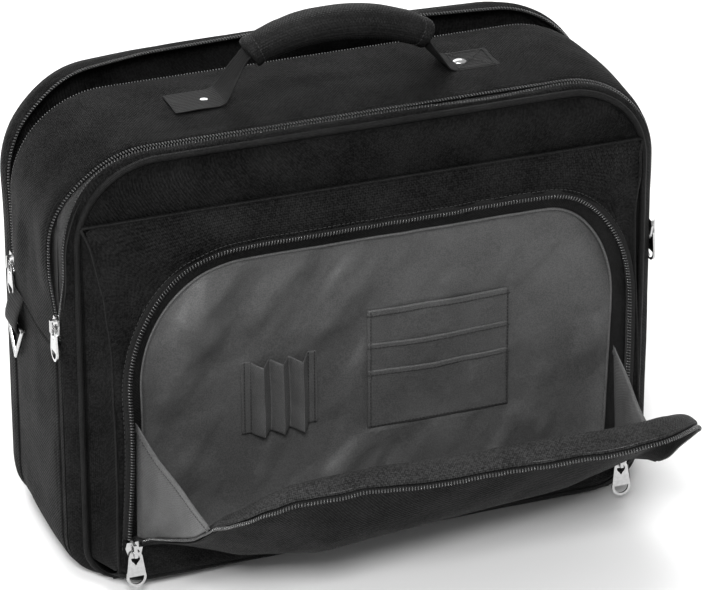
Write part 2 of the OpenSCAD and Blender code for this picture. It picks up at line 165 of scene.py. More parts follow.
def grid_faces(rows, cols, closed=False, flip=False):
    span = cols if closed else cols - 1
    i, j = np.meshgrid(np.arange(rows - 1), np.arange(span), indexing="ij")
    k = (j + 1) % cols
    quads = np.stack([i * cols + j, i * cols + k, (i + 1) * cols + k, (i + 1) * cols + j], -1).reshape(-1, 4)
    return (quads[:, ::-1] if flip else quads).tolist()


def grid_uv(points):
    """Texture coordinates in millimetres of cloth: the mean length along rows and along columns."""
    across = np.linalg.norm(np.diff(points, axis=1), axis=2).mean(0)
    down = np.linalg.norm(np.diff(points, axis=0), axis=2).mean(1)
    u = np.concatenate([[0], np.cumsum(across)])
    v = np.concatenate([[0], np.cumsum(down)])
    return np.stack(np.meshgrid(u, v), -1).reshape(-1, 2)


def sheet_mesh(name, points, material, thickness=0.9, inward=-1, flip=False, subdivide=0):
    """A cloth wall from a grid of points (rows, columns, 3), thickened to one side."""
    rows, cols = points.shape[:2]
    obj = new_object(name, points.reshape(-1, 3), grid_faces(rows, cols, flip=flip), grid_uv(points))
    obj.data.materials.append(material)
    if thickness:
        solid = obj.modifiers.new("thickness", "SOLIDIFY")
        solid.thickness = thickness * MM
        solid.offset = inward
    if subdivide:
        sub = obj.modifiers.new("subdivide", "SUBSURF")
        sub.levels = sub.render_levels = subdivide
    return obj


def resample(path, step, closed=False):
    """Points every step along a path, as near as an even spacing allows."""
    path = np.asarray(path, float)
    if closed:
        path = np.vstack([path, path[:1]])
    run = np.concatenate([[0], np.cumsum(np.linalg.norm(np.diff(path, axis=0), axis=1))])
    count = max(2, int(round(run[-1] / step)) + 1)
    at = np.linspace(0, run[-1], count)
    points = np.stack([np.interp(at, run, path[:, k]) for k in range(path.shape[1])], -1)
    return points[:-1] if closed else points


def unit(v):
    return v / np.maximum(np.linalg.norm(v, axis=-1, keepdims=True), 1e-9)


def path_frames(path, outward, closed=False):
    """Tangent, outward and sideways directions at each point of a path."""
    if closed:
        tangent = np.roll(path, -1, 0) - np.roll(path, 1, 0)
    else:
        tangent = np.gradient(path, axis=0)
    tangent = unit(tangent)
    outward = np.broadcast_to(np.asarray(outward, float), path.shape)
    outward = unit(outward - (outward * tangent).sum(-1, keepdims=True) * tangent)
    return tangent, outward, np.cross(tangent, outward)


def on_path(outs, route, path):
    """The outward directions given along a route, at the points of a path resampled from it."""
    outs = np.asarray(outs, float)
    if outs.ndim == 1:
        return outs
    return outs[np.argmin(((path[:, None] - np.asarray(route)[None]) ** 2).sum(-1), 1)]


def strip_mesh(name, path, outward, width, thickness, material, shift=0.0, lift=0.0, crown=0.0, closed=False):
    """A flat ribbon along a path: webbing, tape, hem or binding, with rounded edges."""
    tangent, out, side = path_frames(path, outward, closed)
    half, t = width / 2, thickness / 2
    edge = min(t, half) * 0.6
    section = [(-half, 0), (-half + edge, t), (-half / 2, t + crown * 0.75), (0, t + crown),
               (half / 2, t + crown * 0.75), (half - edge, t), (half, 0), (half - edge, -t), (0, -t), (-half + edge, -t)]
    rings = np.stack([path + side * (shift + a) + out * (lift + b) for a, b in section], 1)
    return ring_mesh(name, rings, material, closed)


def ring_mesh(name, rings, material, closed=False, caps=True):
    """Skins a list of rings (count, points per ring, 3) into a closed tube."""
    count, n = rings.shape[:2]
    if closed:
        rings = np.concatenate([rings, rings[:1]])
        faces = grid_faces(count + 1, n, closed=True)
        faces = [[v % (count * n) for v in f] for f in faces]
        verts = rings[:count].reshape(-1, 3)
    else:
        faces = grid_faces(count, n, closed=True)
        verts = rings.reshape(-1, 3)
        if caps:
            faces += [list(range(n))[::-1], [(count - 1) * n + k for k in range(n)]]
    run = np.concatenate([[0], np.cumsum(np.linalg.norm(np.diff(rings[:, 0], axis=0), axis=1))])[:count]
    girth = np.concatenate([[0], np.cumsum(np.linalg.norm(np.diff(rings[0], axis=0), axis=1))])
    uvs = np.stack(np.meshgrid(girth, run), -1).reshape(-1, 2)
    obj = new_object(name, verts, faces, uvs)
    obj.data.materials.append(material)
    return obj


def tube_mesh(name, path, radius, material, sides=10, outward=(0, -1, 0), closed=False):
    tangent, out, side = path_frames(path, outward, closed)
    angles = np.linspace(0, 2 * math.pi, sides, endpoint=False)
    radius = np.broadcast_to(np.asarray(radius, float), (len(path),))
    rings = np.stack([path + (side * math.cos(a) + out * math.sin(a)) * radius[:, None] for a in angles], 1)
    return ring_mesh(name, rings, material, closed)


def bead_template(length, breadth, height, bow=0.0):
    """A small rounded bar: rings along its length, for coil loops and stitches."""
    rings = []
    for at, scale in ((-0.5, 0.35), (-0.38, 0.85), (0, 1.0), (0.38, 0.85), (0.5, 0.35)):
        for a in np.linspace(0, 2 * math.pi, 6, endpoint=False):
            rings.append((at * length, math.cos(a) * breadth / 2 * scale,
                          (math.sin(a) * scale) * height / 2 + bow * (1 - (2 * at) ** 2)))
    faces = grid_faces(5, 6, closed=True)
    faces += [list(range(6))[::-1], [24 + k for k in range(6)]]
    return np.array(rings), faces


def beads(name, path, outward, template, pitch, material, axis="side", shift=0.0, lift=0.0, lean=0.0, closed=False):
    """Copies a small template along a path. Its length lies across the path, or along it."""
    verts, faces = template
    route, path = path, resample(path, pitch, closed)
    tangent, out, side = path_frames(path, on_path(outward, route, path), closed)
    if axis == "side":
        x_dir, y_dir = side + tangent * lean, tangent
    else:
        x_dir, y_dir = tangent, side
    centre = path + side * shift + out * lift
    all_verts = (centre[:, None] + verts[None, :, 0, None] * x_dir[:, None]
                 + verts[None, :, 1, None] * y_dir[:, None] + verts[None, :, 2, None] * out[:, None]).reshape(-1, 3)
    n = len(verts)
    all_faces = [[v + k * n for v in f] for k in range(len(path)) for f in faces]
    obj = new_object(name, all_verts, all_faces)
    obj.data.materials.append(material)
    return obj


def join(name, objects):
    """Joins objects into one piece of that name, keeping each one's material."""
    for obj in objects:
        apply_modifiers(obj)
    with bpy.context.temp_override(active_object=objects[0], selected_editable_objects=objects,
                                   object=objects[0], selected_objects=objects):
        bpy.ops.object.join()
    objects[0].name = name
    objects[0].data.name = name
    return objects[0]


def apply_modifiers(obj):
    if not obj.modifiers:
        return
    depsgraph = bpy.context.evaluated_depsgraph_get()
    mesh = bpy.data.meshes.new_from_object(obj.evaluated_get(depsgraph))
    obj.modifiers.clear()
    obj.data = mesh


# ---- materials ----
class Shader:
    """A material's node tree, with short calls for the nodes the cloths and metals share."""

    def __init__(self, name):
        self.material = bpy.data.materials.new(name)
        self.material.use_nodes = True
        self.tree = self.material.node_tree
        self.bsdf = self.tree.nodes["Principled BSDF"]

    def set(self, **values):
        for key, value in values.items():
            self.bsdf.inputs[key.replace("_", " ")].default_value = value

    def node(self, kind, inputs=(), **props):
        made = self.tree.nodes.new(kind)
        for key, value in props.items():
            setattr(made, key, value)
        for slot_name, value in dict(inputs).items():
            if isinstance(value, bpy.types.NodeSocket):
                self.tree.links.new(value, made.inputs[slot_name])
            else:
                made.inputs[slot_name].default_value = value
        return made

    def math(self, operation, a, b=0.0, c=0.0):
        return self.node("ShaderNodeMath", {0: a, 1: b, 2: c}, operation=operation).outputs[0]

    def noise(self, scale, vector, detail=2.0, rough=0.5):
        return self.node("ShaderNodeTexNoise", {"Vector": vector, "Scale": scale, "Detail": detail,
                                                "Roughness": rough}).outputs["Fac"]

    def remap(self, value, low, high, to_low, to_high):
        return self.node("ShaderNodeMapRange", {"Value": value, "From Min": low, "From Max": high,
                                                "To Min": to_low, "To Max": to_high}).outputs["Result"]

    def mix(self, factor, a, b):
        made = self.node("ShaderNodeMix", data_type="RGBA")
        for socket, value in ((made.inputs[0], factor), (made.inputs[6], a), (made.inputs[7], b)):
            if isinstance(value, bpy.types.NodeSocket):
                self.tree.links.new(value, socket)
            else:
                socket.default_value = value
        return made.outputs[2]

    def bump(self, height, strength, distance, normal=None):
        inputs = {"Height": height, "Strength": strength, "Distance": distance}
        if normal is not None:
            inputs["Normal"] = normal
        return self.node("ShaderNodeBump", inputs).outputs["Normal"]

    def link(self, value, socket):
        self.tree.links.new(value, self.bsdf.inputs[socket])


def grey(value, warm=0.0):
    return (value * (1 + warm), value, value * (1 - warm), 1)


def cloth_material(name, dark, light, pitch, roughness, relief, mottle=0.5, twill=0.0, sheen=0.03, gloss=0.2,
                   speck=1100.0):
    """Woven cloth. Its threads cross every pitch metres, along the piece's own cloth coordinates."""
    s = Shader(name)
    uv = s.node("ShaderNodeUVMap", uv_map="cloth").outputs["UV"]
    place = s.node("ShaderNodeTexCoord").outputs["Object"]
    parts = s.node("ShaderNodeSeparateXYZ", {0: uv})
    wobble = s.remap(s.noise(260.0, uv, 1.0), 0, 1, -0.25, 0.25)
    u = s.math("ADD", s.math("MULTIPLY", parts.outputs[0], math.pi / pitch), wobble)
    v = s.math("ADD", s.math("MULTIPLY", parts.outputs[1], math.pi / pitch), wobble)
    if twill:
        u = s.math("ADD", u, s.math("MULTIPLY", v, twill))
    su, sv = s.math("SINE", u), s.math("SINE", v)
    cross = s.math("MULTIPLY", su, sv)
    over = s.math("MULTIPLY", s.math("ABSOLUTE", su), s.math("GREATER_THAN", cross, 0.0))
    under = s.math("MULTIPLY", s.math("ABSOLUTE", sv), s.math("LESS_THAN", cross, 0.0))
    weave = s.math("ADD", over, s.math("MULTIPLY", under, 0.8))
    broad = s.noise(28.0, place, 3.0, 0.6)
    slub = s.noise(900.0, uv, 2.0, 0.7)
    grain = s.remap(s.noise(speck, place, 1.0), 0.4, 0.6, 0.0, 1.0)
    tone = s.math("ADD", s.math("MULTIPLY", weave, 0.4), s.math("MULTIPLY", slub, 0.2))
    tone = s.math("ADD", tone, s.math("MULTIPLY", grain, 0.4))
    tone = s.math("ADD", tone, s.remap(broad, 0.3, 0.7, -mottle * 0.35, mottle * 0.35))
    s.link(s.mix(s.remap(tone, 0.1, 1.0, 0.0, 1.0), grey(dark), grey(light)), "Base Color")
    s.link(s.remap(tone, 0.0, 1.0, roughness + 0.08, roughness - 0.08), "Roughness")
    fine = s.bump(weave, relief, pitch * 0.35)
    s.link(s.bump(s.noise(70.0, place, 3.0, 0.55), 0.35, 0.0016, fine), "Normal")
    s.set(Sheen_Weight=sheen, Sheen_Roughness=0.45, Sheen_Tint=grey(0.75), Specular_IOR_Level=gloss)
    return s.material


def ribbed_material(name, dark, light, rib, thread):
    """Webbing: fine lengthwise cords with cross ribs."""
    s = Shader(name)
    uv = s.node("ShaderNodeUVMap", uv_map="cloth").outputs["UV"]
    parts = s.node("ShaderNodeSeparateXYZ", {0: uv})
    u = s.math("SINE", s.math("MULTIPLY", parts.outputs[0], 2 * math.pi / thread))
    v = s.math("SINE", s.math("ADD", s.math("MULTIPLY", parts.outputs[1], 2 * math.pi / rib),
                              s.math("MULTIPLY", u, 0.9)))
    height = s.math("ADD", s.math("MULTIPLY", u, 0.35), s.math("MULTIPLY", v, 0.65))
    tone = s.math("ADD", s.remap(height, -1, 1, 0, 0.8), s.math("MULTIPLY", s.noise(700.0, uv), 0.3))
    s.link(s.mix(tone, grey(dark), grey(light)), "Base Color")
    s.link(s.remap(tone, 0, 1, 0.7, 0.52), "Roughness")
    s.link(s.bump(height, 0.7, 0.0003), "Normal")
    s.set(Specular_IOR_Level=0.15)
    return s.material


def plain_material(name, dark, light, scale, roughness, relief, metallic=0.0, coat=0.0, spread=0.08):
    """Thread, moulded nylon, board or plated metal: fine noise in colour, roughness and height."""
    s = Shader(name)
    place = s.node("ShaderNodeTexCoord").outputs["Object"]
    fine, broad = s.noise(scale, place, 4.0, 0.6), s.noise(scale / 12, place, 2.0)
    tone = s.math("ADD", s.math("MULTIPLY", fine, 0.6), s.math("MULTIPLY", broad, 0.4))
    s.link(s.mix(s.remap(tone, 0.3, 0.7, 0, 1), grey(dark), grey(light)), "Base Color")
    s.link(s.remap(tone, 0.3, 0.7, roughness - spread, roughness + spread), "Roughness")
    s.link(s.bump(fine, relief, 0.0002), "Normal")
    s.set(Metallic=metallic, Coat_Weight=coat)
    return s.material


OUTER = cloth_material("outer_cloth", 0.0, 0.011, 0.00125, 0.62, 1.0, 0.7, sheen=0.0, gloss=0.06, speck=640)
OUTER_SMOOTH = cloth_material("piping_cloth", 0.0005, 0.009, 0.001, 0.5, 0.7, 0.5, sheen=0.0, gloss=0.1, speck=640)
FACING = cloth_material("facing_cloth", 0.002, 0.034, 0.00125, 0.6, 1.0, 0.6, sheen=0.02, gloss=0.12, speck=640)
LINING = cloth_material("lining_cloth", 0.026, 0.078, 0.0007, 0.4, 0.5, 0.5, 0.5, gloss=0.5)
# The lining cloth made slightly lighter for bindings and hems: the extra lightness is a painted highlight along
# their rounded edges.
LINING_EDGE_HIGHLIT = cloth_material("lining_hem", 0.03, 0.085, 0.0007, 0.42, 0.5, 0.4, 0.3, gloss=0.45)
WEBBING = ribbed_material("webbing", 0.001, 0.014, 0.0021, 0.0011)
TAPE = ribbed_material("zip_tape", 0.002, 0.01, 0.0011, 0.0007)
THREAD = plain_material("thread", 0.002, 0.012, 1800.0, 0.6, 0.3)
COIL = plain_material("zip_coil", 0.008, 0.03, 900.0, 0.26, 0.1, coat=0.35)
BOARD = plain_material("board", 0.1, 0.18, 500.0, 0.8, 0.6)
NICKEL = plain_material("nickel", 0.36, 0.56, 500.0, 0.2, 0.06, metallic=1.0)


# ---- the bag's outline ----
SEAM_Z = 177
SIDE_Z = np.sort(np.concatenate([np.linspace(34, 250, 46), SEAM_Z + np.array([-3, -1.4, -0.7, 0, 0.7, 1.4, 3])]))


def outline(half, top, r_top=TOP_R, r_foot=FOOT_R, foot=0.0, closed=False):
    """The outline seen from the front, from the right foot over the top to the left foot: (x, z) points."""
    foot_a, top_a = np.linspace(-90, 0, 9)[:-1], np.linspace(0, 90, 21)
    a, b = np.radians(foot_a), np.radians(top_a)
    side = foot + r_foot + (SIDE_Z - 32) * (top - r_top - r_foot - foot) / 220
    right = np.vstack([
        np.stack([half - r_foot + r_foot * np.cos(a), foot + r_foot + r_foot * np.sin(a)], 1),
        np.stack([np.full(len(SIDE_Z), half), side], 1),
        np.stack([half - r_top + r_top * np.cos(b), top - r_top + r_top * np.sin(b)], 1)])
    middle = np.stack([np.linspace(half - r_top, -(half - r_top), 38)[1:-1], np.full(36, top)], 1)
    left = right[::-1] * np.array([-1, 1])
    path = np.vstack([right, middle, left])
    if closed:
        base = np.linspace(-(half - r_foot), half - r_foot, 24)[1:-1]
        path = np.vstack([path, np.stack([base, np.full(22, foot)], 1)])
    return path


def outward(path, closed=False):
    """Outward directions of an outline given as (x, z) points."""
    t = (np.roll(path, -1, 0) - np.roll(path, 1, 0)) if closed else np.gradient(path, axis=0)
    return unit(np.stack([t[:, 1], -t[:, 0]], 1))


SWELL = 4.2                     # how far the left side bulges beside the front zip


def side_swell(x, z):
    """How far the body's edge stands out beside the front zip, where the lid's edge has parted from it."""
    left = np.where(x < 0, 1.0, 0.35)
    return SWELL * left * smooth(np.abs(x), 175, 210) * smooth(z, 196, 240) * (1 - smooth(z, 262, 312))


def lid_pull(x, z):
    """How far the front lid's zip edge has come away from the body's: forward, in mm."""
    left = 7.5 * (x < 0) * smooth(-x, 120, 200) * smooth(z, 198, 238) * (1 - smooth(z, 268, 314))
    lens = 5.0 * np.exp(-((x - 88) / 34) ** 2) * smooth(z, 300, 314)
    return left + lens


def lid_angle(x, z):
    """How far the main lid stands open at rest, in radians: widest on the left, closed beside its sliders."""
    x, z = np.asarray(x, float), np.asarray(z, float)
    middle = np.interp(x, [-216, -190, -160, -105, -20, 60, 105, 150, 216],
                       [5.5, 6.5, 10, 16, 18.6, 15.5, 12.5, 10, 7.5])
    edge = smooth(np.abs(x), 120, 205)
    ramp = (1 - edge) * smooth(z, FOLD_Z - 8, FOLD_Z + 26) + edge * smooth(z, 198, 292)
    return np.radians(middle) * ramp


def open_lid(points):
    """Swings points of the closed main lid back about its fold in the rear panel."""
    points = np.array(points, float)
    angle = lid_angle(points[..., 0], points[..., 2])
    dy, dz = points[..., 1] - REAR_Y, points[..., 2] - FOLD_Z
    c, s = np.cos(angle), np.sin(angle)
    points[..., 1] = REAR_Y + dy * c + dz * s
    points[..., 2] = FOLD_Z + dz * c - dy * s
    return points


def loft(stations, closed=False, **radii):
    """Rows of outline at each (y, half width, top, foot): a grid (rows, columns, 3) and its outward directions."""
    rows, outs = [], []
    for y, half, top, foot in stations:
        path = outline(half, top, foot=foot, closed=closed, **radii)
        out = outward(path, closed)
        rows.append(np.stack([path[:, 0], np.full(len(path), y), path[:, 1]], 1))
        outs.append(np.stack([out[:, 0], np.zeros(len(path)), out[:, 1]], 1))
    return np.array(rows), np.array(outs)


def run_length(grid):
    """Distance along each row of a grid, from its first column."""
    step = np.linalg.norm(np.diff(grid, axis=1), axis=2)
    return np.concatenate([np.zeros((len(grid), 1)), np.cumsum(step, 1)], 1)


def body_dents(grid, outs, seed, amount=1.0, edge_y=None):
    """Soft dents and tension folds over the stiff cloth of the body."""
    s, y = run_length(grid), grid[..., 1]
    dent = 0.9 * ripple(s, y, 70, seed, 1.4, 80) + 0.35 * ripple(s, y, 22, seed + 9, 2.2, 70)
    if edge_y is not None:
        dent = dent * smooth(np.minimum(y - edge_y[0], edge_y[1] - y), 0, 9)
    return grid + outs * (dent * amount)[..., None]


def stitches(name, path, outs, pitch=3.4, size=0.55, shift=0.0, lift=0.1, closed=False):
    """A row of lock stitches on a path."""
    return beads(name, path, outs, bead_template(pitch * 0.72, size, size, -size * 0.25), pitch, THREAD,
                 axis="along", shift=shift, lift=lift, closed=closed)


def coil(name, path, outs, side=1, lean=0.22, closed=False, gape=0.0):
    """One half of a coil zip along a path: its loops and the cord they are sewn over."""
    loops = beads(name, path, outs, bead_template(3.4, 1.15, 1.5, 0.35), 2.1, COIL, shift=side * (1.4 + gape),
                  lift=0.75, lean=lean * side, closed=closed)
    cord_path = resample(path, 4.0, closed)
    _, o, across = path_frames(cord_path, on_path(outs, path, cord_path), closed)
    cord = tube_mesh(name + "_cord", cord_path + across * side * (2.5 + gape) + o * 0.35, 0.7, TAPE, 6,
                     on_path(outs, path, cord_path), closed)
    return join(name, [loops, cord])


def finish_piece(obj, nodes, body=None, bend=None, drop=None):
    """Hides the CAD nodes a piece replaces, then bakes its transform if bend is given or else parents it to its
    body, and gives it its own mesh if drop is given.
    """
    if nodes:
        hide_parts(*nodes)
    if bend:
        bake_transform(obj)
    else:
        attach(obj, body)
    if drop:
        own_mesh(obj)
    return obj


FRONT_BEND = ("shell", "front_lid", (0, FRONT_Y * MM, (FOLD_Z - 12) * MM), (0, FRONT_Y * MM, (FOLD_Z + 14) * MM))
REAR_BEND = ("shell", "rear_lid", (0, REAR_Y * MM, (FOLD_Z - 8) * MM), (0, REAR_Y * MM, (FOLD_Z + 46) * MM))

# ---- centre gusset ----
EDGE = 3.6                      # from a zip's centre line to the folded edge of the cloth beside it
c0, c1 = FRONT_ZIP_Y + EDGE, REAR_ZIP_Y - EDGE
stations = [(c0 + 0.4, HALF_W + 0.2, TOP - 1.2, 0), (c0, HALF_W + 1.0, TOP - 0.4, 0),
            (c0 + 1.4, HALF_W + 1.3, TOP, 0),
            (c0 + 3.4, HALF_W + 1.0, TOP - 0.1, 0), (c0 + 4.2, HALF_W + 1.3, TOP + 0.2, 0)]
stations += [(y, HALF_W + 1.3 + 1.6 * b, TOP + 0.2 + 2.4 * b, 0) for y, b in
             zip(np.linspace(c0 + 7, c1 - 7, 17), np.sin(np.linspace(0.12, math.pi - 0.12, 17)))]
stations += [(c1 - 4.2, HALF_W + 1.3, TOP + 0.2, 0), (c1 - 3.4, HALF_W + 1.0, TOP - 0.1, 0),
             (c1 - 1.4, HALF_W + 1.3, TOP, 0), (c1, HALF_W + 1.0, TOP - 0.4, 0),
             (c1 - 0.4, HALF_W + 0.2, TOP - 1.2, 0)]
gusset, gusset_out = loft(stations)
gusset = body_dents(gusset, gusset_out, 11, edge_y=(c0, c1))
near_front = 1 - smooth(gusset[..., 1], c0, c0 + 38)
gusset += gusset_out * (side_swell(gusset[..., 0], gusset[..., 2]) * near_front)[..., None]
seam_dip = np.exp(-((gusset[..., 2] - SEAM_Z) / 1.1) ** 2) * (np.abs(gusset[..., 0]) > HALF_W - 20)
gusset -= gusset_out * (1.1 * seam_dip)[..., None]
drag = crease(gusset[..., 1], gusset[..., 2], (20, 262), (46, 186), 7) - crease(gusset[..., 1], gusset[..., 2],
                                                                               (-6, 268), (30, 190), 9)
gusset += gusset_out * (1.3 * drag * (np.abs(gusset[..., 0]) > HALF_W - 30))[..., None]

pressed = np.exp(-((np.abs(gusset[..., 0]) - RIVET_X - 4) / 26) ** 4 - ((gusset[..., 1] - HANDLE_Y) / 20) ** 4)
pressed *= gusset[..., 2] > TOP - 3
gusset[..., 2] += pressed * np.minimum(TOP + 0.6 - gusset[..., 2], 0)
parts = [sheet_mesh("centre_gusset", gusset, OUTER, 1.3, -1, subdivide=1)]
for row in (3, len(stations) - 4):
    parts.append(stitches("edge_stitch", gusset[row], gusset_out[row], lift=0.35))
for side in (-1, 1):
    seam = [(side * (HALF_W + 2.0), y, SEAM_Z + 2.6) for y in np.linspace(c0 + 1, c1 - 1, 30)]
    parts.append(stitches("seam_stitch", np.array(seam), (side, 0, 0), lift=1.0))
centre = join("centre_gusset_cloth", parts)
finish_piece(centre, ["centre_gusset"], "shell")

# ---- base ----
bx = np.linspace(-(HALF_W - FOOT_R) - 3, HALF_W - FOOT_R + 3, 60)
by = np.linspace(FRONT_Y + 1, REAR_Y - 1, 26)
gx, gy = np.meshgrid(bx, by)
base = np.stack([gx, gy, 0.6 + 0.5 * ripple(gx, gy, 60, 5) + 0.5], -1)
finish_piece(sheet_mesh("base_cloth", base, OUTER, 1.4, -1), ["base_panel"], "shell")

# ---- compartment zips ----
def zip_path(y, half, top, low=ZIP_FOOT_Z, grow=None):
    """A zip's line over the top of the bag, between the bottom ends of its two legs."""
    path = outline(half, top)
    out = outward(path)
    keep = path[:, 1] >= low
    path, out = path[keep], out[keep]
    points = np.stack([path[:, 0], np.full(len(path), float(y)), path[:, 1]], 1)
    outs = np.stack([out[:, 0], np.zeros(len(path)), out[:, 1]], 1)
    if grow is not None:
        points += outs * grow(points[:, 0], points[:, 2])[:, None]
    return points, outs


def zip_half(name, points, outs, side, body, slot_nodes, bend=None, tape_to=4.6):
    """A coil on the edge of its tape. side says on which side of the line the tape lies, seen along the path."""
    chain = coil(name, points, outs, side)
    centre_path = resample(points, 4.0)
    centre_out = on_path(outs, points, centre_path)
    tape = strip_mesh(name + "_tape", centre_path, centre_out, tape_to, 0.5, TAPE, shift=side * (tape_to / 2 + 0.9),
                      lift=-0.15)
    piece = join(name, [chain, tape])
    return finish_piece(piece, slot_nodes, body, bend)


front_line, front_out = zip_path(FRONT_ZIP_Y, HALF_W, TOP - 1.2, grow=side_swell)
front_line[:, 1] += 0.5
zip_half("front_zip_body", front_line, front_out, 1, "shell", ["front_zip_body_chain"])
lid_line, lid_out = zip_path(FRONT_ZIP_Y, HALF_W - 0.6, TOP - 1.8)
lid_line += lid_out * (-1.8 * side_swell(lid_line[:, 0], lid_line[:, 2]) / SWELL)[:, None]
lid_line[:, 1] -= 0.3 + lid_pull(lid_line[:, 0], lid_line[:, 2])
zip_half("front_zip_lid", lid_line, lid_out, -1, None, ["front_zip_lid_chain"], FRONT_BEND)

rear_line, rear_out = zip_path(REAR_ZIP_Y, HALF_W, TOP - 1.2)
rear_line[:, 1] -= 0.3
zip_half("rear_zip_body", rear_line, rear_out, -1, "shell", ["rear_zip_body_chain"])
rear_lid_line = open_lid(rear_line + np.array([0, 0.6, 0]))
zip_half("rear_zip_lid", rear_lid_line, rear_out, 1, None, ["rear_zip_lid_chain"], REAR_BEND)

# ---- rear section ----
PIPE_R = 2.4
r0, r1 = REAR_ZIP_Y + EDGE, REAR_Y - 2.2
stations = [(r0 + 0.4, HALF_W + 0.2, TOP - 1.2, 0), (r0, HALF_W + 1.0, TOP - 0.4, 0),
            (r0 + 1.4, HALF_W + 1.3, TOP, 0),
            (r0 + 3.2, HALF_W + 1.0, TOP - 0.1, 0), (r0 + 4.2, HALF_W + 1.5, TOP + 0.2, 0)]
stations += [(y, HALF_W + 1.6 - 1.4 * t, TOP + 0.4 - 1.6 * t, 0) for y, t in
             zip(np.linspace(r0 + 7, r1 - 1.6, 6), np.linspace(0, 1, 6))]
stations += [(r1 - 0.6, HALF_W - 0.8, TOP - 1.8, 0.8), (r1, HALF_W - 3.4, TOP - 4.0, 2.2)]
rear, rear_outs = loft(stations)
rear = body_dents(rear, rear_outs, 31, 0.8, (r0, r1))
rear_grid = open_lid(rear)
parts = [sheet_mesh("rear_gusset", rear_grid, OUTER, 1.2, -1, subdivide=1),
         stitches("edge_stitch", rear_grid[3], rear_outs[3], lift=0.35)]

def zip_feet(y):
    """Cloth strips that carry on below a compartment zip's two legs."""
    below = outline(HALF_W + 0.8, TOP)
    strips = []
    for side in (-1, 1):
        leg = below[(below[:, 1] < ZIP_FOOT_Z) & (np.sign(below[:, 0]) == side)]
        leg = leg[np.argsort(leg[:, 1])]
        out = np.stack([np.full(len(leg), side * 1.0), np.zeros(len(leg)), -np.clip(1 - leg[:, 1] / 30, 0, 1)], 1)
        path = np.stack([leg[:, 0], np.full(len(leg), y), leg[:, 1]], 1)
        strips.append(strip_mesh("zip_foot", path, out, 2 * EDGE + 1, 0.8, OUTER, lift=-0.5, crown=0.4))
    return strips


parts += zip_feet(REAR_ZIP_Y)
finish_piece(join("rear_gusset_cloth", parts), ["rear_gusset_lower", "rear_gusset_upper"],
             bend=REAR_BEND)


def panel_grid(half, top, r_top, r_foot, foot, y, rows=64, cols=66, crown=0.0, out_y=-1):
    """A flat panel filled to its rounded outline: rows of constant height, bowed outward by crown."""
    a = np.linspace(0, math.pi / 2, 12)
    z = np.concatenate([foot + r_foot * (1 - np.cos(a)), np.linspace(foot + r_foot, top - r_top, rows - 22)[1:-1],
                        top - r_top * (1 - np.sin(a))])
    low, high = np.clip(foot + r_foot - z, 0, r_foot), np.clip(z - top + r_top, 0, r_top)
    reach = half - r_foot + np.sqrt(r_foot ** 2 - low ** 2)
    reach = np.where(high > 0, half - r_top + np.sqrt(np.maximum(r_top ** 2 - high ** 2, 0)), reach)
    u = np.sin(np.linspace(-math.pi / 2, math.pi / 2, cols) * 0.92) / math.sin(math.pi / 2 * 0.92)
    x = reach[:, None] * u[None]
    zz = np.repeat(z[:, None], cols, 1)
    edge = np.minimum(1 - np.abs(u)[None] + 0 * x, np.minimum(zz - foot, top - zz) / half)
    bow = crown * smooth(edge, 0, 0.5)
    return np.stack([x, y + out_y * bow, zz], -1), edge


back, back_edge = panel_grid(HALF_W - 3.6, TOP - 4, TOP_R, FOOT_R, 2.4, REAR_Y - 1.6, crown=2.5, out_y=1)
back[..., 1] += (1.2 * ripple(back[..., 0], back[..., 2], 90, 41, 1.5, 20)
                 + 0.5 * ripple(back[..., 0], back[..., 2], 30, 47, 2, 60)) * smooth(back_edge, 0, 0.12)
back = open_lid(back)
finish_piece(sheet_mesh("rear_panel_cloth", back, OUTER, 1.4, 1, flip=True, subdivide=1),
             ["rear_panel_lower", "rear_panel_upper"], bend=REAR_BEND)


def piping(name, half, top, r_top, r_foot, foot, y, radius, lid=None):
    """A cord covered in cloth, along the edge of a panel."""
    path = outline(half, top, r_top, r_foot, foot, closed=True)
    points = np.stack([path[:, 0], np.full(len(path), float(y)), path[:, 1]], 1)
    points[:, 1] += 0.35 * ripple(run_length(points[None])[0], points[:, 2], 25, 51)
    if lid:
        points = lid(points)
    return tube_mesh(name, points, radius, OUTER_SMOOTH, 12, (0, -1, 0), closed=True)


finish_piece(piping("rear_piping_cord", HALF_W - 2.2, TOP - 2.6, TOP_R, FOOT_R, 2.6, REAR_Y, PIPE_R, open_lid),
             ["rear_piping_lower", "rear_piping_upper"], bend=REAR_BEND)

# ---- front section ----
f0, f1 = FRONT_ZIP_Y - EDGE, FRONT_Y + 1.6
stations = [(f0 - 0.4, HALF_W - 0.6, TOP - 1.4, 0), (f0, HALF_W + 0.2, TOP - 0.7, 0),
            (f0 - 1.3, HALF_W + 0.4, TOP, 0),
            (f0 - 2.6, HALF_W - 0.6, TOP + 0.2, 0), (f0 - 4.2, HALF_W - 2.4, TOP + 0.4, 0),
            (f0 - 6.0, HALF_W - 4.8, TOP + 0.2, 0), (f0 - 7.4, HALF_W - 7.4, TOP - 0.4, 0.6),
            (f1, HALF_W - 9.8, TOP - 2.2, 1.8)]
strip, strip_out = loft(stations)
pull = lid_pull(strip[..., 0], strip[..., 2]) * (1 - smooth(FRONT_ZIP_Y - strip[..., 1], EDGE, EDGE + 9))
strip += strip_out * (-1.8 * side_swell(strip[..., 0], strip[..., 2]) / SWELL
                      * (1 - smooth(FRONT_ZIP_Y - strip[..., 1], EDGE, EDGE + 9)))[..., None]
strip[..., 1] -= pull * 0.8
strip = body_dents(strip, strip_out, 61, 0.35)
seam_dip = np.exp(-((strip[..., 2] - SEAM_Z) / 1.1) ** 2) * (np.abs(strip[..., 0]) > HALF_W - 20)
strip -= strip_out * (0.8 * seam_dip)[..., None]
parts = [sheet_mesh("front_strip", strip, OUTER, 1.1, 1, flip=True, subdivide=1)]
parts += zip_feet(FRONT_ZIP_Y)
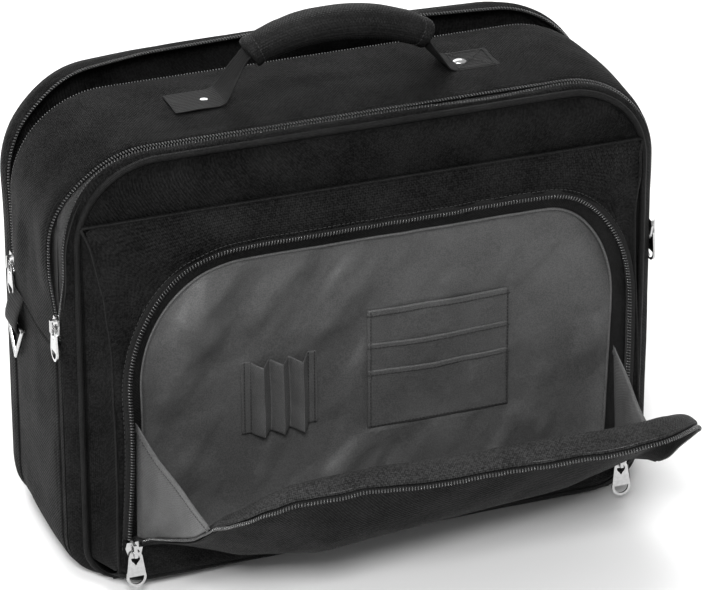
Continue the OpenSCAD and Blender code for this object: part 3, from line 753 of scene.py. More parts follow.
finish_piece(join("front_strip_cloth", parts), ["front_gusset_lower", "front_gusset_upper"],
             bend=FRONT_BEND)

PANEL_TOP = TOP - 3
finish_piece(piping("front_piping_cord", PANEL_HALF, PANEL_TOP, TOP_R - 8, FOOT_R - 4, 2.6, FRONT_Y, PIPE_R),
             ["front_piping_lower", "front_piping_upper"], bend=FRONT_BEND)
panel, panel_edge = panel_grid(PANEL_HALF - 1.4, PANEL_TOP - 1.4, TOP_R - 9, FOOT_R - 5, 3.6, FRONT_Y + 0.6)
px, pz = panel[..., 0], panel[..., 2]
above = smooth(pz, POCKET_TOP + 1, POCKET_TOP + 12)
panel[..., 1] -= above * (2.2 * smooth(panel_edge, 0, 0.08) + 1.1 * ripple(px, pz, 46, 71, 3.0, 4)
                          + 0.5 * ripple(px, pz, 16, 77, 3.5, -12)) * smooth(panel_edge, 0, 0.03)
finish_piece(sheet_mesh("front_panel_cloth", panel, OUTER, 1.2, -1, subdivide=1),
             ["front_panel_lower", "front_panel_upper"], bend=FRONT_BEND)


# ---- front pocket ----
LEFT_FOOT, LEFT_SHOULDER, RIGHT_HALF = -181, (-176, 150), 187
LEFT_CROWN, RIGHT_CROWN, RIGHT_SHOULDER = -90, 130, 165


def mouth_path(offset=0.0, low=HINGE_Z):
    """The zipped mouth's edge from the left foot over the top to the right foot, grown by offset: (x, z)."""
    a, b = np.linspace(0, math.pi / 2, 24)[1:-1], np.linspace(math.pi / 2, 0, 22)[1:-1]
    lx, lz = LEFT_SHOULDER
    left = np.stack([np.linspace(LEFT_FOOT, lx, 26), np.linspace(low, lz, 26)], 1)
    left[:, 0] += 1.5 * np.sin(np.linspace(0, math.pi, 26))
    corner_l = np.stack([LEFT_CROWN + (lx - LEFT_CROWN) * np.cos(a), lz + (MOUTH_TOP - lz) * np.sin(a)], 1)
    crown = np.stack([np.linspace(LEFT_CROWN, RIGHT_CROWN, 44), np.full(44, float(MOUTH_TOP))], 1)
    corner_r = np.stack([RIGHT_CROWN + (RIGHT_HALF - RIGHT_CROWN) * np.cos(b),
                         RIGHT_SHOULDER + (MOUTH_TOP - RIGHT_SHOULDER) * np.sin(b)], 1)
    right = np.stack([np.full(26, float(RIGHT_HALF)), np.linspace(RIGHT_SHOULDER, low, 26)], 1)
    right[:, 0] -= np.linspace(0, 5, 26)
    path = np.vstack([left, corner_l, crown, corner_r, right])
    return path + mouth_out(path) * offset


def mouth_out(path):
    """Directions away from the mouth's middle. The path runs clockwise, so they are the reverse of outward()."""
    return -outward(path)


def pocket_edge(z, side):
    """Half width of the pocket's front at a height."""
    if side < 0:
        return np.interp(z, [13, 43, 76, 185, 221, 262, POCKET_TOP], [191, 190.7, 189, 187.5, 189.5, 198, 203])
    return np.interp(z, [13, 130, 185, 221, 262, POCKET_TOP], [196, 195.5, 195, 196, 200, 203])


def pocket_foot(x):
    """Height of the pocket's lower front edge, which is soft at its corners and hangs higher on the right."""
    right = 5.5 * smooth(x, -60, 120) + 24 * np.clip((x - 160) / 36, 0, 1) ** 2.3
    return POCKET_FOOT - 1 + right + 9 * np.clip((-x - 166) / 25, 0, 1) ** 2.2


def face_y(x, z):
    """Depth of the pocket's front face: the slope, the fullness beside the mouth, and soft wrinkles."""
    slope = FACE_FOOT_Y + (z - POCKET_FOOT) * (FACE_TOP_Y - FACE_FOOT_Y) / (POCKET_TOP - POCKET_FOOT)
    sides = smooth(np.abs(x), 90, 165) * (1 - 0.75 * smooth(np.abs(x), 182, 192))
    full = 7.5 * np.exp(-((z - 150) / 72) ** 2) * sides
    full += 4.5 * smooth(z, 225, 250) * (1 - smooth(z, 252, POCKET_TOP + 1)) * (0.7 + 0.3 * ripple(x, z, 90, 83))
    wave = 1.5 * ripple(x, z, 52, 81, 1.5, 62) + 0.6 * ripple(x, z, 20, 87, 2.4, 50)
    wave += 2.4 * crease(x, z, (-196, 270), (-150, 222), 8) + 2.0 * crease(x, z, (-150, 268), (-112, 240), 7)
    wave += 1.8 * crease(x, z, (198, 268), (168, 232), 8) - 1.5 * crease(x, z, (150, 272), (130, 246), 7)
    fade = smooth(POCKET_TOP - z, 0, 16) * smooth(z, POCKET_FOOT, POCKET_FOOT + 18)
    return slope - full - wave * fade * smooth(z, 40, 150)


def face_grid(x, z, lift=0.0):
    return np.stack([x, face_y(x, z) - lift, z], -1)


FACE_OUT = np.array([0, -math.cos(FACE_SLOPE), math.sin(FACE_SLOPE)])
inner = mouth_path(EDGE + 0.4)
outer = inner.copy()
for i, (x, z) in enumerate(inner):
    side = -1 if x < 20 else 1
    cx, cz = (LEFT_CROWN, LEFT_SHOULDER[1]) if side < 0 else (RIGHT_CROWN, RIGHT_SHOULDER)
    if z <= cz:
        outer[i] = side * pocket_edge(z, side), z
    elif LEFT_CROWN <= x <= RIGHT_CROWN:
        outer[i] = x, POCKET_TOP
    else:
        dx, dz = x - cx, z - cz
        reach = (POCKET_TOP - cz) / dz if dz > 1e-6 else 1e9
        for _ in range(4):
            t = min(reach, (side * pocket_edge(min(cz + reach * dz, POCKET_TOP), side) - cx) / dx)
            reach = t
        outer[i] = cx + t * dx, min(cz + t * dz, POCKET_TOP)
for side in (-1, 1):
    corner = np.array([side * 203.0, POCKET_TOP])
    outer[np.argmin(((outer - corner) ** 2).sum(1))] = corner
share = np.concatenate([[0, 0.015, 0.05, 0.1], np.linspace(0.18, 0.9, 9), [0.95, 0.985, 1]])
xs = inner[None, :, 0] + (outer - inner)[None, :, 0] * share[:, None]
zs = inner[None, :, 1] + (outer - inner)[None, :, 1] * share[:, None]
from_edge = np.linalg.norm(outer - inner, axis=1)[None] * share[:, None]
frame_face = face_grid(xs, zs)
frame_face[..., 1] -= 0.7 * smooth(from_edge, 0, 1.2) - 0.5 * np.exp(-((from_edge - 3.2) / 0.8) ** 2)
lx = np.linspace(-1, 1, 90)
lz = np.concatenate([np.linspace(POCKET_FOOT, HINGE_Z - 2, 8), [HINGE_Z]])
low_x = np.where(lx[None] < 0, pocket_edge(lz, -1)[:, None], pocket_edge(lz, 1)[:, None]) * lx[None]
low_share = ((lz - POCKET_FOOT) / (HINGE_Z - POCKET_FOOT))[:, None]
low_z = pocket_foot(low_x) + (HINGE_Z - pocket_foot(low_x)) * low_share
low_face = face_grid(low_x, low_z)
low_face[..., 1] += 5.5 * (1 - smooth(low_z - pocket_foot(low_x), 0, 9)) ** 2
hem = mouth_path(EDGE + 3.4)
hem_points = face_grid(hem[:, 0], hem[:, 1], 0.5)
parts = [sheet_mesh("pocket_face", frame_face, OUTER, 1.2, -1, subdivide=1),
         sheet_mesh("pocket_low_face", low_face, OUTER, 1.2, -1, subdivide=1),
         stitches("hem_stitch", hem_points, FACE_OUT, lift=0.35)]
for side in (-1, 1):
    z = np.linspace(pocket_foot(side * pocket_edge(POCKET_FOOT, side)) + 2, POCKET_TOP - 1, 60)
    x = side * pocket_edge(z, side)
    parts.append(tube_mesh("side_ridge", face_grid(x, z, 0.1), 1.15, OUTER_SMOOTH, 8))
x = np.linspace(-202, 202, 120)
top_ridge = face_grid(x, np.full(120, POCKET_TOP - 0.4), 0.4)
parts.append(tube_mesh("top_ridge", top_ridge, 1.2, OUTER_SMOOTH, 8))
finish_piece(join("pocket_face_cloth", parts), ["pocket_face_lower", "pocket_face_upper"],
             bend=FRONT_BEND)

# side gussets of the pocket
CORNER_FOOT = 21                 # where the pocket's back edge leaves the panel's rounded lower corner
parts = []
for side in (-1, 1):
    row = np.concatenate([np.linspace(0, 0.2, 12), np.linspace(0.24, 1, 34)])
    t = np.linspace(0, 1, 12)
    front_foot = pocket_foot(side * pocket_edge(POCKET_FOOT, side))
    front_z = front_foot + (POCKET_TOP - 1 - front_foot) * row
    back_z = CORNER_FOOT + (POCKET_TOP - 1 - CORNER_FOOT) * row
    front_x = side * pocket_edge(front_z, side)
    front_y = face_y(front_x, front_z) + 5.5 * (1 - smooth(front_z - front_foot, 0, 9)) ** 2
    back_x, back_y = side * (PANEL_HALF - 3.5), FRONT_Y - 0.4
    foot = smooth(row, 0, 0.06)[:, None]
    x = front_x[:, None] + (back_x - front_x[:, None]) * t[None]
    y = front_y[:, None] + (back_y - front_y[:, None]) * t[None]
    z = front_z[:, None] + (back_z - front_z)[:, None] * t[None]
    depth = (back_y - front_y)[:, None]
    hollow = np.sin(math.pi * t)[None] * depth * 0.16 * foot
    x = x - side * (hollow + 0.7 * ripple(y, z, 26, 91 + side) * np.sin(math.pi * t)[None])
    grid = np.stack([x, y, z], -1)
    parts.append(sheet_mesh("pocket_side", grid, OUTER, 1.1, -side, flip=side < 0, subdivide=1))
finish_piece(join("pocket_side_cloth", parts), ["pocket_sides_lower", "pocket_sides_upper"],
             bend=FRONT_BEND)

floor_u, floor_t = np.meshgrid(np.linspace(-1, 1, 90), np.linspace(0, 1, 12))
back_half = PANEL_HALF - 3.5
x = np.where(floor_u < 0, floor_u * (190.6 + (back_half - 190.6) * floor_t),
             floor_u * (196 + (back_half - 196) * floor_t))
front_foot = pocket_foot(x)
y = (face_y(x, front_foot) + 5.5) * (1 - floor_t) + (FRONT_Y - 0.5) * floor_t
back_foot = 4 + (CORNER_FOOT - 4) * np.clip((np.abs(x) - back_half + 30) / 30, 0, 1) ** 2.2
z = front_foot + (back_foot - front_foot) * floor_t ** 0.8 - 1.6 * np.sin(math.pi * floor_t)
z = z + 0.8 * ripple(x, y, 60, 95) * floor_t
bottom = sheet_mesh("pocket_floor", np.stack([x, y, z], -1), OUTER, 1.1, 1, flip=True, subdivide=1)
ridge = tube_mesh("foot_ridge", np.stack([x[0], y[0] - 0.3, z[0] + 0.3], 1), 1.15, OUTER_SMOOTH, 8)
finish_piece(join("pocket_floor_cloth", [bottom, ridge]), ["pocket_bottom"], "shell")

# zip half on the pocket's front, and the lining's bound edge behind it
frame_line = mouth_path(0.5, HINGE_Z + 7)
frame_points = face_grid(frame_line[:, 0], frame_line[:, 1], 0.9)
zip_half("pocket_zip_frame", frame_points, FACE_OUT, -1, None, ["pocket_zip_frame_lower", "pocket_zip_frame_upper"],
         FRONT_BEND, tape_to=5.2)

rows = []
for offset, depth in ((1.5, 0.15), (-3.5, 0.3), (-8.2, 0.42), (-9.2, 0.5), (-8.4, 0.6), (-4, 0.8), (1, 1.0)):
    path = mouth_path(offset, HINGE_Z + 3)
    y = face_y(path[:, 0], path[:, 1])
    gap = np.clip(ORGANISER_Y - 0.8 - y, 1, 30)
    rows.append(np.stack([path[:, 0], y + np.clip(gap * depth, 0, 26), path[:, 1]], 1))
lip = np.array(rows)
lip_s = run_length(lip)
lip[..., 1] += 0.5 * ripple(lip_s, lip[..., 1], 22, 97) * np.array([0, 0.6, 1, 1, 1, 1, 0])[:, None]
# The binding tube uses the lighter hem cloth, whose extra lightness is painted highlight.
edge = tube_mesh("mouth_binding", lip[3] + np.array([0, -0.4, 0]), 1.0, LINING_EDGE_HIGHLIT, 8)
# The mouth's inner wall is given the near-black piping cloth rather than the lining cloth: painted shade in the
# recess behind the zip.
wall = sheet_mesh("mouth_lining", lip, OUTER_SMOOTH, 0.7, 1, subdivide=1)
piece = join("mouth_lining_cloth", [wall, edge])
finish_piece(piece, [], bend=FRONT_BEND)

# ---- organiser ----
def organiser_y(x, z):
    """The slack lining on the front panel: long satin folds that run down from the sewn pockets."""
    wave = 2.8 * ripple(x, z, 44, 101, 2.6, 52) + 1.1 * ripple(x, z, 17, 105, 3.0, 60)
    wave += 2.6 * crease(x, z, (-92, 150), (-150, 210), 9) + 2.2 * crease(x, z, (-36, 152), (0, 205), 9)
    wave += 2.4 * crease(x, z, (-64, 97), (-80, 46), 8) + 2.2 * crease(x, z, (0, 84), (-30, 40), 8)
    wave += 2.2 * crease(x, z, (104, 176), (150, 214), 9) + 2.4 * crease(x, z, (104, 84), (140, 50), 9)
    wave += 2.6 * crease(x, z, (150, 205), (168, 90), 6) - 2.0 * crease(x, z, (138, 200), (152, 70), 6)
    wave += 1.6 * np.cos(x / 62) + 1.2 * crease(x, z, (-150, 100), (-100, 50), 14)
    sewn = (1 - 0.8 * ((x > -94) & (x < -35) & (z > 97) & (z < 154))
            - 0.8 * ((x > 0) & (x < 105) & (z > 84) & (z < 176)))
    wave += 5.0 * crease(x, z, (-96, 236), (-150, 120), 16) + 4.0 * crease(x, z, (-30, 240), (-96, 170), 13)
    wrap = 15 * smooth(-x, 150, 188) ** 2 + 13 * smooth(x, 152, 192) ** 2
    room = 9.0 * (1 - 0.75 * smooth(z, 190, 248))
    return ORGANISER_Y + 0.9 - np.clip(wave * sewn + 1.2, 0, room) - wrap * (1 - smooth(z, 120, 225))


ox, oz = np.meshgrid(np.linspace(-188, 192, 140), np.linspace(POCKET_FOOT + 4, 251, 96))
organiser = np.stack([ox, organiser_y(ox, oz), oz], -1)
organiser[..., 1] -= 9 * (1 - smooth(oz, POCKET_FOOT, 62)) ** 2
lining = sheet_mesh("organiser_lining", organiser, LINING, 0.6, -1)
finish_piece(lining, ["organiser_lower", "organiser_upper"], bend=FRONT_BEND)

CARD_LOW, CARD_HIGH = node_box("card_pocket_back")
TIER_LOW, TIER_HIGH = node_box("card_pocket_tiers")


def sewn_patch(name, x0, x1, z0, z1, front, bow, seed, top_hem=4.0):
    """A pocket layer sewn down at its sides and foot. Its hemmed top edge stands away by bow."""
    u, v = np.meshgrid(np.linspace(0, 1, 40), np.concatenate([np.linspace(0, 0.9, 22), np.linspace(0.92, 1, 5)]))
    x, z = x0 + (x1 - x0) * u, z0 + (z1 - z0) * v
    open_top = np.sin(math.pi * u) ** 0.8 * smooth(v, 0.25, 1) * bow
    slack = np.sin(math.pi * u) * (1.1 * ripple(x, z, 24, seed, 2.0, 70) + 0.7)
    z = z - np.sin(math.pi * u) * v * bow * 0.35
    grid = np.stack([x, front - open_top - slack, z], -1)
    sheet = sheet_mesh(name, grid, LINING, 0.7, 1, flip=True)
    hem_row = grid[-1] + np.array([0, 0, -top_hem / 2])
    hem = strip_mesh(name + "_hem", hem_row, (0, -1, 0), top_hem, 0.5, LINING, lift=0.3)
    sew = stitches(name + "_sew", grid[-1] + np.array([0, -0.9, -top_hem + 0.8]), (0, -1, 0), 2.8, 0.5)
    return [sheet, hem, sew]


card_y = CARD_LOW[1] + 0.2
card = sewn_patch("card_back", CARD_LOW[0], CARD_HIGH[0], CARD_LOW[2] - 1, CARD_HIGH[2] + 1,
                  card_y - 0.6, 0.8, 111, 5.0)
left_x, right_x, foot_z = CARD_LOW[0] + 1.6, CARD_HIGH[0] - 1.6, CARD_LOW[2] + 0.8
sides = [(left_x, CARD_HIGH[2]), (left_x, foot_z), (right_x, foot_z), (right_x, CARD_HIGH[2])]
border = resample(np.array([(x, TIER_LOW[1] - 1.4, z) for x, z in sides]), 2.0)
card.append(stitches("card_border", border, (0, -1, 0), 2.6, 0.75))
card_back = join("card_pocket_back_cloth", card)
finish_piece(card_back, ["card_pocket_back"], "shell")
tiers = []
for k, height in enumerate((TIER_HIGH[2], TIER_HIGH[2] - 20.5)):
    tiers += sewn_patch("card_tier", CARD_LOW[0], CARD_HIGH[0], CARD_LOW[2] - 1, height,
                        card_y - 1.2 - 0.9 * k, 1.8 - 0.4 * k, 113 + k)
card_tiers = join("card_pocket_tiers_cloth", tiers)
finish_piece(card_tiers, ["card_pocket_tiers"], "shell")

PEN_LOW, PEN_HIGH = node_box("pen_loops")
pen_mid = (PEN_LOW[0] + PEN_HIGH[0]) / 2
PEN_PITCH, PEN_COUNT = 14.0, 3
u = np.linspace(-1, 1, 121)
loops_half = PEN_PITCH * PEN_COUNT / 2
pen_x = u * (PEN_HIGH[0] - pen_mid)
phase = (pen_x + loops_half) / PEN_PITCH
inside = np.abs(pen_x) < loops_half
arc = np.abs(np.sin(math.pi * phase)) ** 0.75
swing = 2.2 * np.sin(2 * math.pi * phase) * inside
rows = []
for v in np.linspace(0, 1, 16):
    z = PEN_LOW[2] - 1 + (PEN_HIGH[2] - PEN_LOW[2] + 2) * v
    flare = 1 + 0.1 * (2 * v - 1) ** 2 + 0.04 * np.sin(9 * v + phase)
    tall = (ORGANISER_Y - PEN_LOW[1] + 1.2) * arc * inside * flare * (0.88 + 0.1 * np.cos(phase * 2.1 + 1))
    rows.append(np.stack([pen_mid + pen_x + swing * 0.8 + 0.5 * np.sin(5 * v), ORGANISER_Y - 1.6 - tall,
                          z - 1.5 * arc * inside * (v > 0.97)], 1))
pens = [sheet_mesh("pen_loop_cloth", np.array(rows), LINING, 0.8, 1, flip=True, subdivide=1)]
for x in [PEN_LOW[0] + 2, PEN_HIGH[0] - 2] + [pen_mid + PEN_PITCH * k for k in (-1.5, -0.5, 0.5, 1.5)]:
    line = np.array([(x, ORGANISER_Y - 2.4, z) for z in np.linspace(PEN_LOW[2], PEN_HIGH[2], 30)])
    pens.append(stitches("pen_stitch", line, (0, -1, 0), 2.6, 0.75))
pen_cloth = join("pen_loops_cloth", pens)
finish_piece(pen_cloth, ["pen_loops"], "shell")


# ---- flap ----
FLAP_ALONG = np.array([0, -math.cos(FLAP_RISE), math.sin(FLAP_RISE)])
FLAP_UP = np.array([0, math.sin(FLAP_RISE), math.cos(FLAP_RISE)])
HINGE = np.array([0, HINGE_Y, HINGE_Z])
DROOP_W = 24.0                       # width of the rim that hangs down from the flap's crest
BELLY = ([-184, -130, -70, 20, 110, 160, 190], [0, 22, 31, 25, 20, 9, 0])   # how far the unzipped cloth sags
DROOP_ANGLE = math.radians(60)
FLAP_FLAT = dict(axis=tuple(FLAP_UP), anchor=tuple(HINGE * MM), keep=0.12)
rim_path = mouth_path(-0.6)
rim_out = mouth_out(mouth_path())
rim_run = np.concatenate([[0], np.cumsum(np.linalg.norm(np.diff(rim_path, axis=0), axis=1))])
rim_full = smooth(rim_run, 12, 120) * (0.55 + 0.45 * smooth(rim_run, 90, 250)) * (
    1 - smooth(rim_run, rim_run[-1] - 110, rim_run[-1] - 14))
bend_t = np.linspace(0, 40, 161)


def droop(t, full):
    """How far the rim runs on and hangs down, at distances t past the crest, with its slope there."""
    share = np.linspace(0, 1, 11)
    along, down = [], []
    for f in share:
        slope = DROOP_ANGLE * f * smooth(bend_t, 0, 11)
        along.append(np.concatenate([[0], np.cumsum(np.cos(slope[1:]) * 0.25)]))
        down.append(np.concatenate([[0], np.cumsum(np.sin(slope[1:]) * 0.25)]))
    along, down = np.array(along), np.array(down)
    k = np.clip(full * 10, 0, 10)
    i = np.minimum(k.astype(int), 9)
    w = k - i
    j = np.clip(t / 0.25, 0, 159.999)
    a = j.astype(int)
    f = j - a

    def read(table):
        low = table[i, a] * (1 - f) + table[i, a + 1] * f
        high = table[i + 1, a] * (1 - f) + table[i + 1, a + 1] * f
        return low * (1 - w) + high * w

    return read(along), read(down), DROOP_ANGLE * full * smooth(t, 0, 11)


def flap_point(x, z, lift=0.0):
    """A point of the flap drawn flat at (x, height up the pocket), as it hangs open. lift is towards the lining."""
    x, z = np.broadcast_arrays(np.asarray(x, float), np.asarray(z, float))
    shape = x.shape
    flat = np.stack([x.ravel(), z.ravel()], 1)
    d2 = ((flat[:, None] - rim_path[None]) ** 2).sum(-1)
    near = np.argmin(d2, 1)
    out = rim_out[near]
    inward = -((flat - rim_path[near]) * out).sum(1)
    tip = np.exp(-((flat[:, 0] - 186) / 34) ** 2 - ((flat[:, 1] - 205) / 60) ** 2)
    rim_w = DROOP_W - 6 * np.exp(-((rim_path[near, 0] + 105) / 55) ** 2) - 5 * tip
    t = np.clip(rim_w - inward, 0, 39)
    along, down, slope = droop(t, rim_full[near])
    moved = flat + out * (along - t)[:, None]
    slack = 1.6 * ripple(flat[:, 0], flat[:, 1], 60, 121, 2.0, 8) * smooth(flat[:, 1], HINGE_Z, HINGE_Z + 40)
    scallop = 1.1 * ripple(rim_run[near], 0 * t, 34, 127) * smooth(t, 0, 10)
    deep = np.interp(flat[:, 0], *BELLY)
    out_d = np.clip((flat[:, 1] - HINGE_Z) / (MOUTH_TOP - HINGE_Z - DROOP_W), 0, 1)
    sag = deep * np.sin(math.pi * out_d ** 0.85) ** 1.2
    height = slack - down - scallop - sag + 8.5 * tip + lift * np.cos(slope)
    moved = moved + out * (lift * np.sin(slope))[:, None]
    bulge = np.interp(flat[:, 1] - HINGE_Z, [0, 60, 120, 200], [0, 9, 13, 10])
    moved[:, 0] += 7 * tip + bulge * smooth(-flat[:, 0], 60, 180)
    points = HINGE + np.stack([moved[:, 0], 0 * t, 0 * t], 1)
    points = points + FLAP_ALONG * (moved[:, 1] - HINGE_Z)[:, None] + FLAP_UP * height[:, None]
    return points.reshape(shape + (3,))


def flap_out(x, z):
    """Direction from the flap's outer cloth outward, at a point drawn flat."""
    return unit(flap_point(x, z, -1.0) - flap_point(x, z, 0.0))


def flap_rows(inset=0.0, rows=58, cols=86):
    """Flat grid (x, z) that fills the flap to its rim."""
    a = np.linspace(0, math.pi / 2, 22)[1:]
    lx, lz = LEFT_SHOULDER
    z = np.concatenate([np.linspace(HINGE_Z, lz, rows - 21), lz + (MOUTH_TOP - inset - lz) * np.sin(a)])
    rim = mouth_path(-inset)
    left = np.interp(z, rim[:60, 1], rim[:60, 0])
    tail = rim[-60:][::-1]
    right = np.interp(z, tail[:, 1], tail[:, 0])
    u = 0.5 - 0.5 * np.cos(np.linspace(0.0, math.pi, cols))
    u = 0.5 * u + 0.5 * np.linspace(0, 1, cols)
    return left[:, None] + (right - left)[:, None] * u[None], np.repeat(z[:, None], cols, 1)


fx, fz = flap_rows(EDGE)
outer_cloth = sheet_mesh("flap_outer", flap_point(fx, fz, 0.0), OUTER, 1.1, 1, subdivide=0)
rim_hem = mouth_path(-EDGE - 2.6)
parts = [outer_cloth, stitches("flap_hem_stitch", flap_point(rim_hem[:, 0], rim_hem[:, 1], -0.2),
                               flap_out(rim_hem[:, 0], rim_hem[:, 1]), lift=0.5)]
finish_piece(join("flap_outer_cloth", parts), ["flap_panel"], "pocket_flap", drop=FLAP_FLAT)
lin = sheet_mesh("flap_lining_cloth", flap_point(*flap_rows(EDGE + 2), 2.4), LINING, 0.6, -1)
finish_piece(lin, ["flap_lining"], "pocket_flap", drop=FLAP_FLAT)

FACING_W = 19.0
insets = np.concatenate([[0.6, 1.2, 2.6, 4.6], np.linspace(7, FACING_W - 1.2, 7), [FACING_W - 0.4, FACING_W]]) + 4.0
lifts = np.concatenate([[1.0, 2.2, 3.0, 3.2], 3.6 + 0.7 * np.sin(np.linspace(0.3, 2.6, 7)), [3.4, 2.6]])
keep = slice(4, -4)
facing = []
for inset, lift in zip(insets, lifts):
    path = mouth_path(-inset - 0.4)[keep]
    bump = 0.5 * ripple(rim_run[keep], np.full(len(path), inset), 16, 131, 1.6, 30)
    facing.append(flap_point(path[:, 0], path[:, 1], lift + bump))
facing = np.array(facing)
band = sheet_mesh("flap_facing", facing, FACING, 0.9, 1, subdivide=1)
parts = [band]
for inset in (7.6, FACING_W + 0.6):
    path = mouth_path(-inset)[keep]
    parts.append(stitches("facing_stitch", flap_point(path[:, 0], path[:, 1], 3.7),
                          -flap_out(path[:, 0], path[:, 1]), 3.6, 0.6, lift=0.4))
finish_piece(join("flap_facing_cloth", parts), ["flap_facing"], "pocket_flap", drop=FLAP_FLAT)

line = mouth_path(-0.2)[keep]
zip_points = flap_point(line[:, 0], line[:, 1], 0.4)
zip_outs = -flap_out(line[:, 0], line[:, 1])
chain = coil("flap_zip", zip_points, zip_outs, -1)
tape_path = mouth_path(-5.2)[keep]
tape_points = flap_point(tape_path[:, 0], tape_path[:, 1], 0.5)
tape = strip_mesh("flap_zip_tape", tape_points, flap_out(tape_path[:, 0], tape_path[:, 1]), 6.4, 0.5, TAPE)
finish_piece(join("flap_zip_coil", [chain, tape]), ["flap_zip_chain"], "pocket_flap", drop=FLAP_FLAT)


def web(name, side, up, out, draw, node):
    """Triangle of lining from the mouth's leg to the flap's edge, with a hem along its free edge."""
    x_leg = (LEFT_FOOT + 5) if side < 0 else (RIGHT_HALF - 8)
    corner = np.array([x_leg, HINGE_Y + 1.5, HINGE_Z + 3])
    top = np.array([x_leg + side * -2, face_y(x_leg, HINGE_Z + up) + 3.0, HINGE_Z + up])
    u, v = np.meshgrid(np.linspace(0, 1, 34), np.linspace(0.02, 1, 34))
    rest = flap_point(np.full(34, x_leg + draw), HINGE_Z + 2 + (out - 2) * v[:, 0], 3.2)[:, None]
    points = corner + (1 - u)[..., None] * v[..., None] * (top - corner) + u[..., None] * (rest - corner)
    slack = np.sin(math.pi * u)
    pull = points - corner
    folds = 3.0 * np.sin(9 * u + 2.2 * v) + 1.6 * ripple(u * 90, v * 60, 24, 141, 2.2, 80)
    points[..., 0] -= side * slack * v * (8.0 * (1 - v ** 6) + folds * (1 - 0.7 * v ** 4))
    points -= pull * (0.025 * slack * v)[..., None]
    sheet = sheet_mesh(name, points, LINING, 0.6, 0, subdivide=0)
    edge = points[-1]
    inward = unit(corner - edge)
    across = np.cross(inward, unit(np.gradient(edge, axis=0)))
    # The hem uses the lighter hem cloth, whose extra lightness is painted highlight.
    hem = strip_mesh(name + "_hem", edge + inward * 3.4, across, 6.8, 1.1, LINING_EDGE_HIGHLIT)
    sew = [stitches(name + "_sew", edge + inward * 5.6, (s, 0, 0), 3.0, 0.6, lift=0.75) for s in (-1, 1)]
    piece = join(name, [sheet, hem] + sew)
    finish_piece(piece, [node], "shell",
                 drop=dict(axis=tuple(FACE_OUT), anchor=(0, (HINGE_Y + 12) * MM, HINGE_Z * MM), keep=0.04))


web("left_web_cloth", -1, 92, 124, 4.0, "left_web")
web("right_web_cloth", 1, 86, 88, -1.0, "right_web")


# ---- carrying handle ----
TAB_TOP = node_box("handle_tabs")[1][2]
GRIP_HALF, GRIP_MID, GRIP_RISE, GRIP_Z = 64.5, 3.5, 16.5, 347.5
STRAP_BEND = 0.3215, 0.334        # heights in metres between which the strap bends


def grip_arc(u):
    """Centre line of the grip at u from -1 (left end) to 1 (right end)."""
    x = GRIP_MID + GRIP_HALF * u
    z = GRIP_Z - 2.5 * u + GRIP_RISE * (1 - u ** 2) ** 0.9
    return np.stack([x, np.full_like(x, HANDLE_Y), z], -1)


u = np.concatenate([[-1.0, -0.995, -0.985, -0.96], np.linspace(-0.93, 0.93, 58), [0.96, 0.985, 0.995, 1.0]])
centre_path = grip_arc(u)
tangent, out, side = path_frames(centre_path, (0, 0, 1))
full = 1 - 0.14 * np.abs(u) ** 3
full = full * np.interp(np.abs(u), [0, 0.93, 0.96, 0.985, 0.995, 1], [1, 1, 1.04, 1.02, 0.9, 0.6])
angles = np.linspace(0, 2 * math.pi, 40, endpoint=False)
rings = []
for a in angles:
    high = 11.2 * np.sign(math.sin(a)) * abs(math.sin(a)) ** 0.82
    wide = 13.6 * np.sign(math.cos(a)) * abs(math.cos(a)) ** 0.82
    soft = 1 + 0.05 * ripple(centre_path[:, 0], np.full(len(u), a * 14), 26, 151, 1.6, 80) * (1 - np.abs(u) ** 8)
    soft = soft - 0.05 * np.exp(-((np.abs(u) - 0.9) / 0.02) ** 2)
    seam = 1 - 0.05 * math.exp(-((math.sin(a) + 0.72) / 0.1) ** 2) * (math.cos(a) < 0)
    rings.append(centre_path + (out * high + side * wide) * (full * soft * seam)[:, None])
grip = ring_mesh("handle_grip_cloth", np.stack(rings, 1), OUTER_SMOOTH)
parts = [grip]
for at in (-0.9, 0.9):
    k = np.argmin(np.abs(u - at))
    loop = np.stack(rings, 1)[k]
    loop = np.vstack([loop, loop[:1]])
    parts.append(stitches("grip_end_stitch", loop, unit(loop - centre_path[k]), 3.0, 0.6, lift=0.25))
under = np.stack(rings, 1)[:, 25]
parts.append(stitches("grip_seam_stitch", under[5:-5], unit(under - centre_path)[5:-5], 3.2, 0.6, lift=0.3))
grip = join("handle_grip_cloth", parts)
finish_piece(grip, ["handle_grip"], "handle")

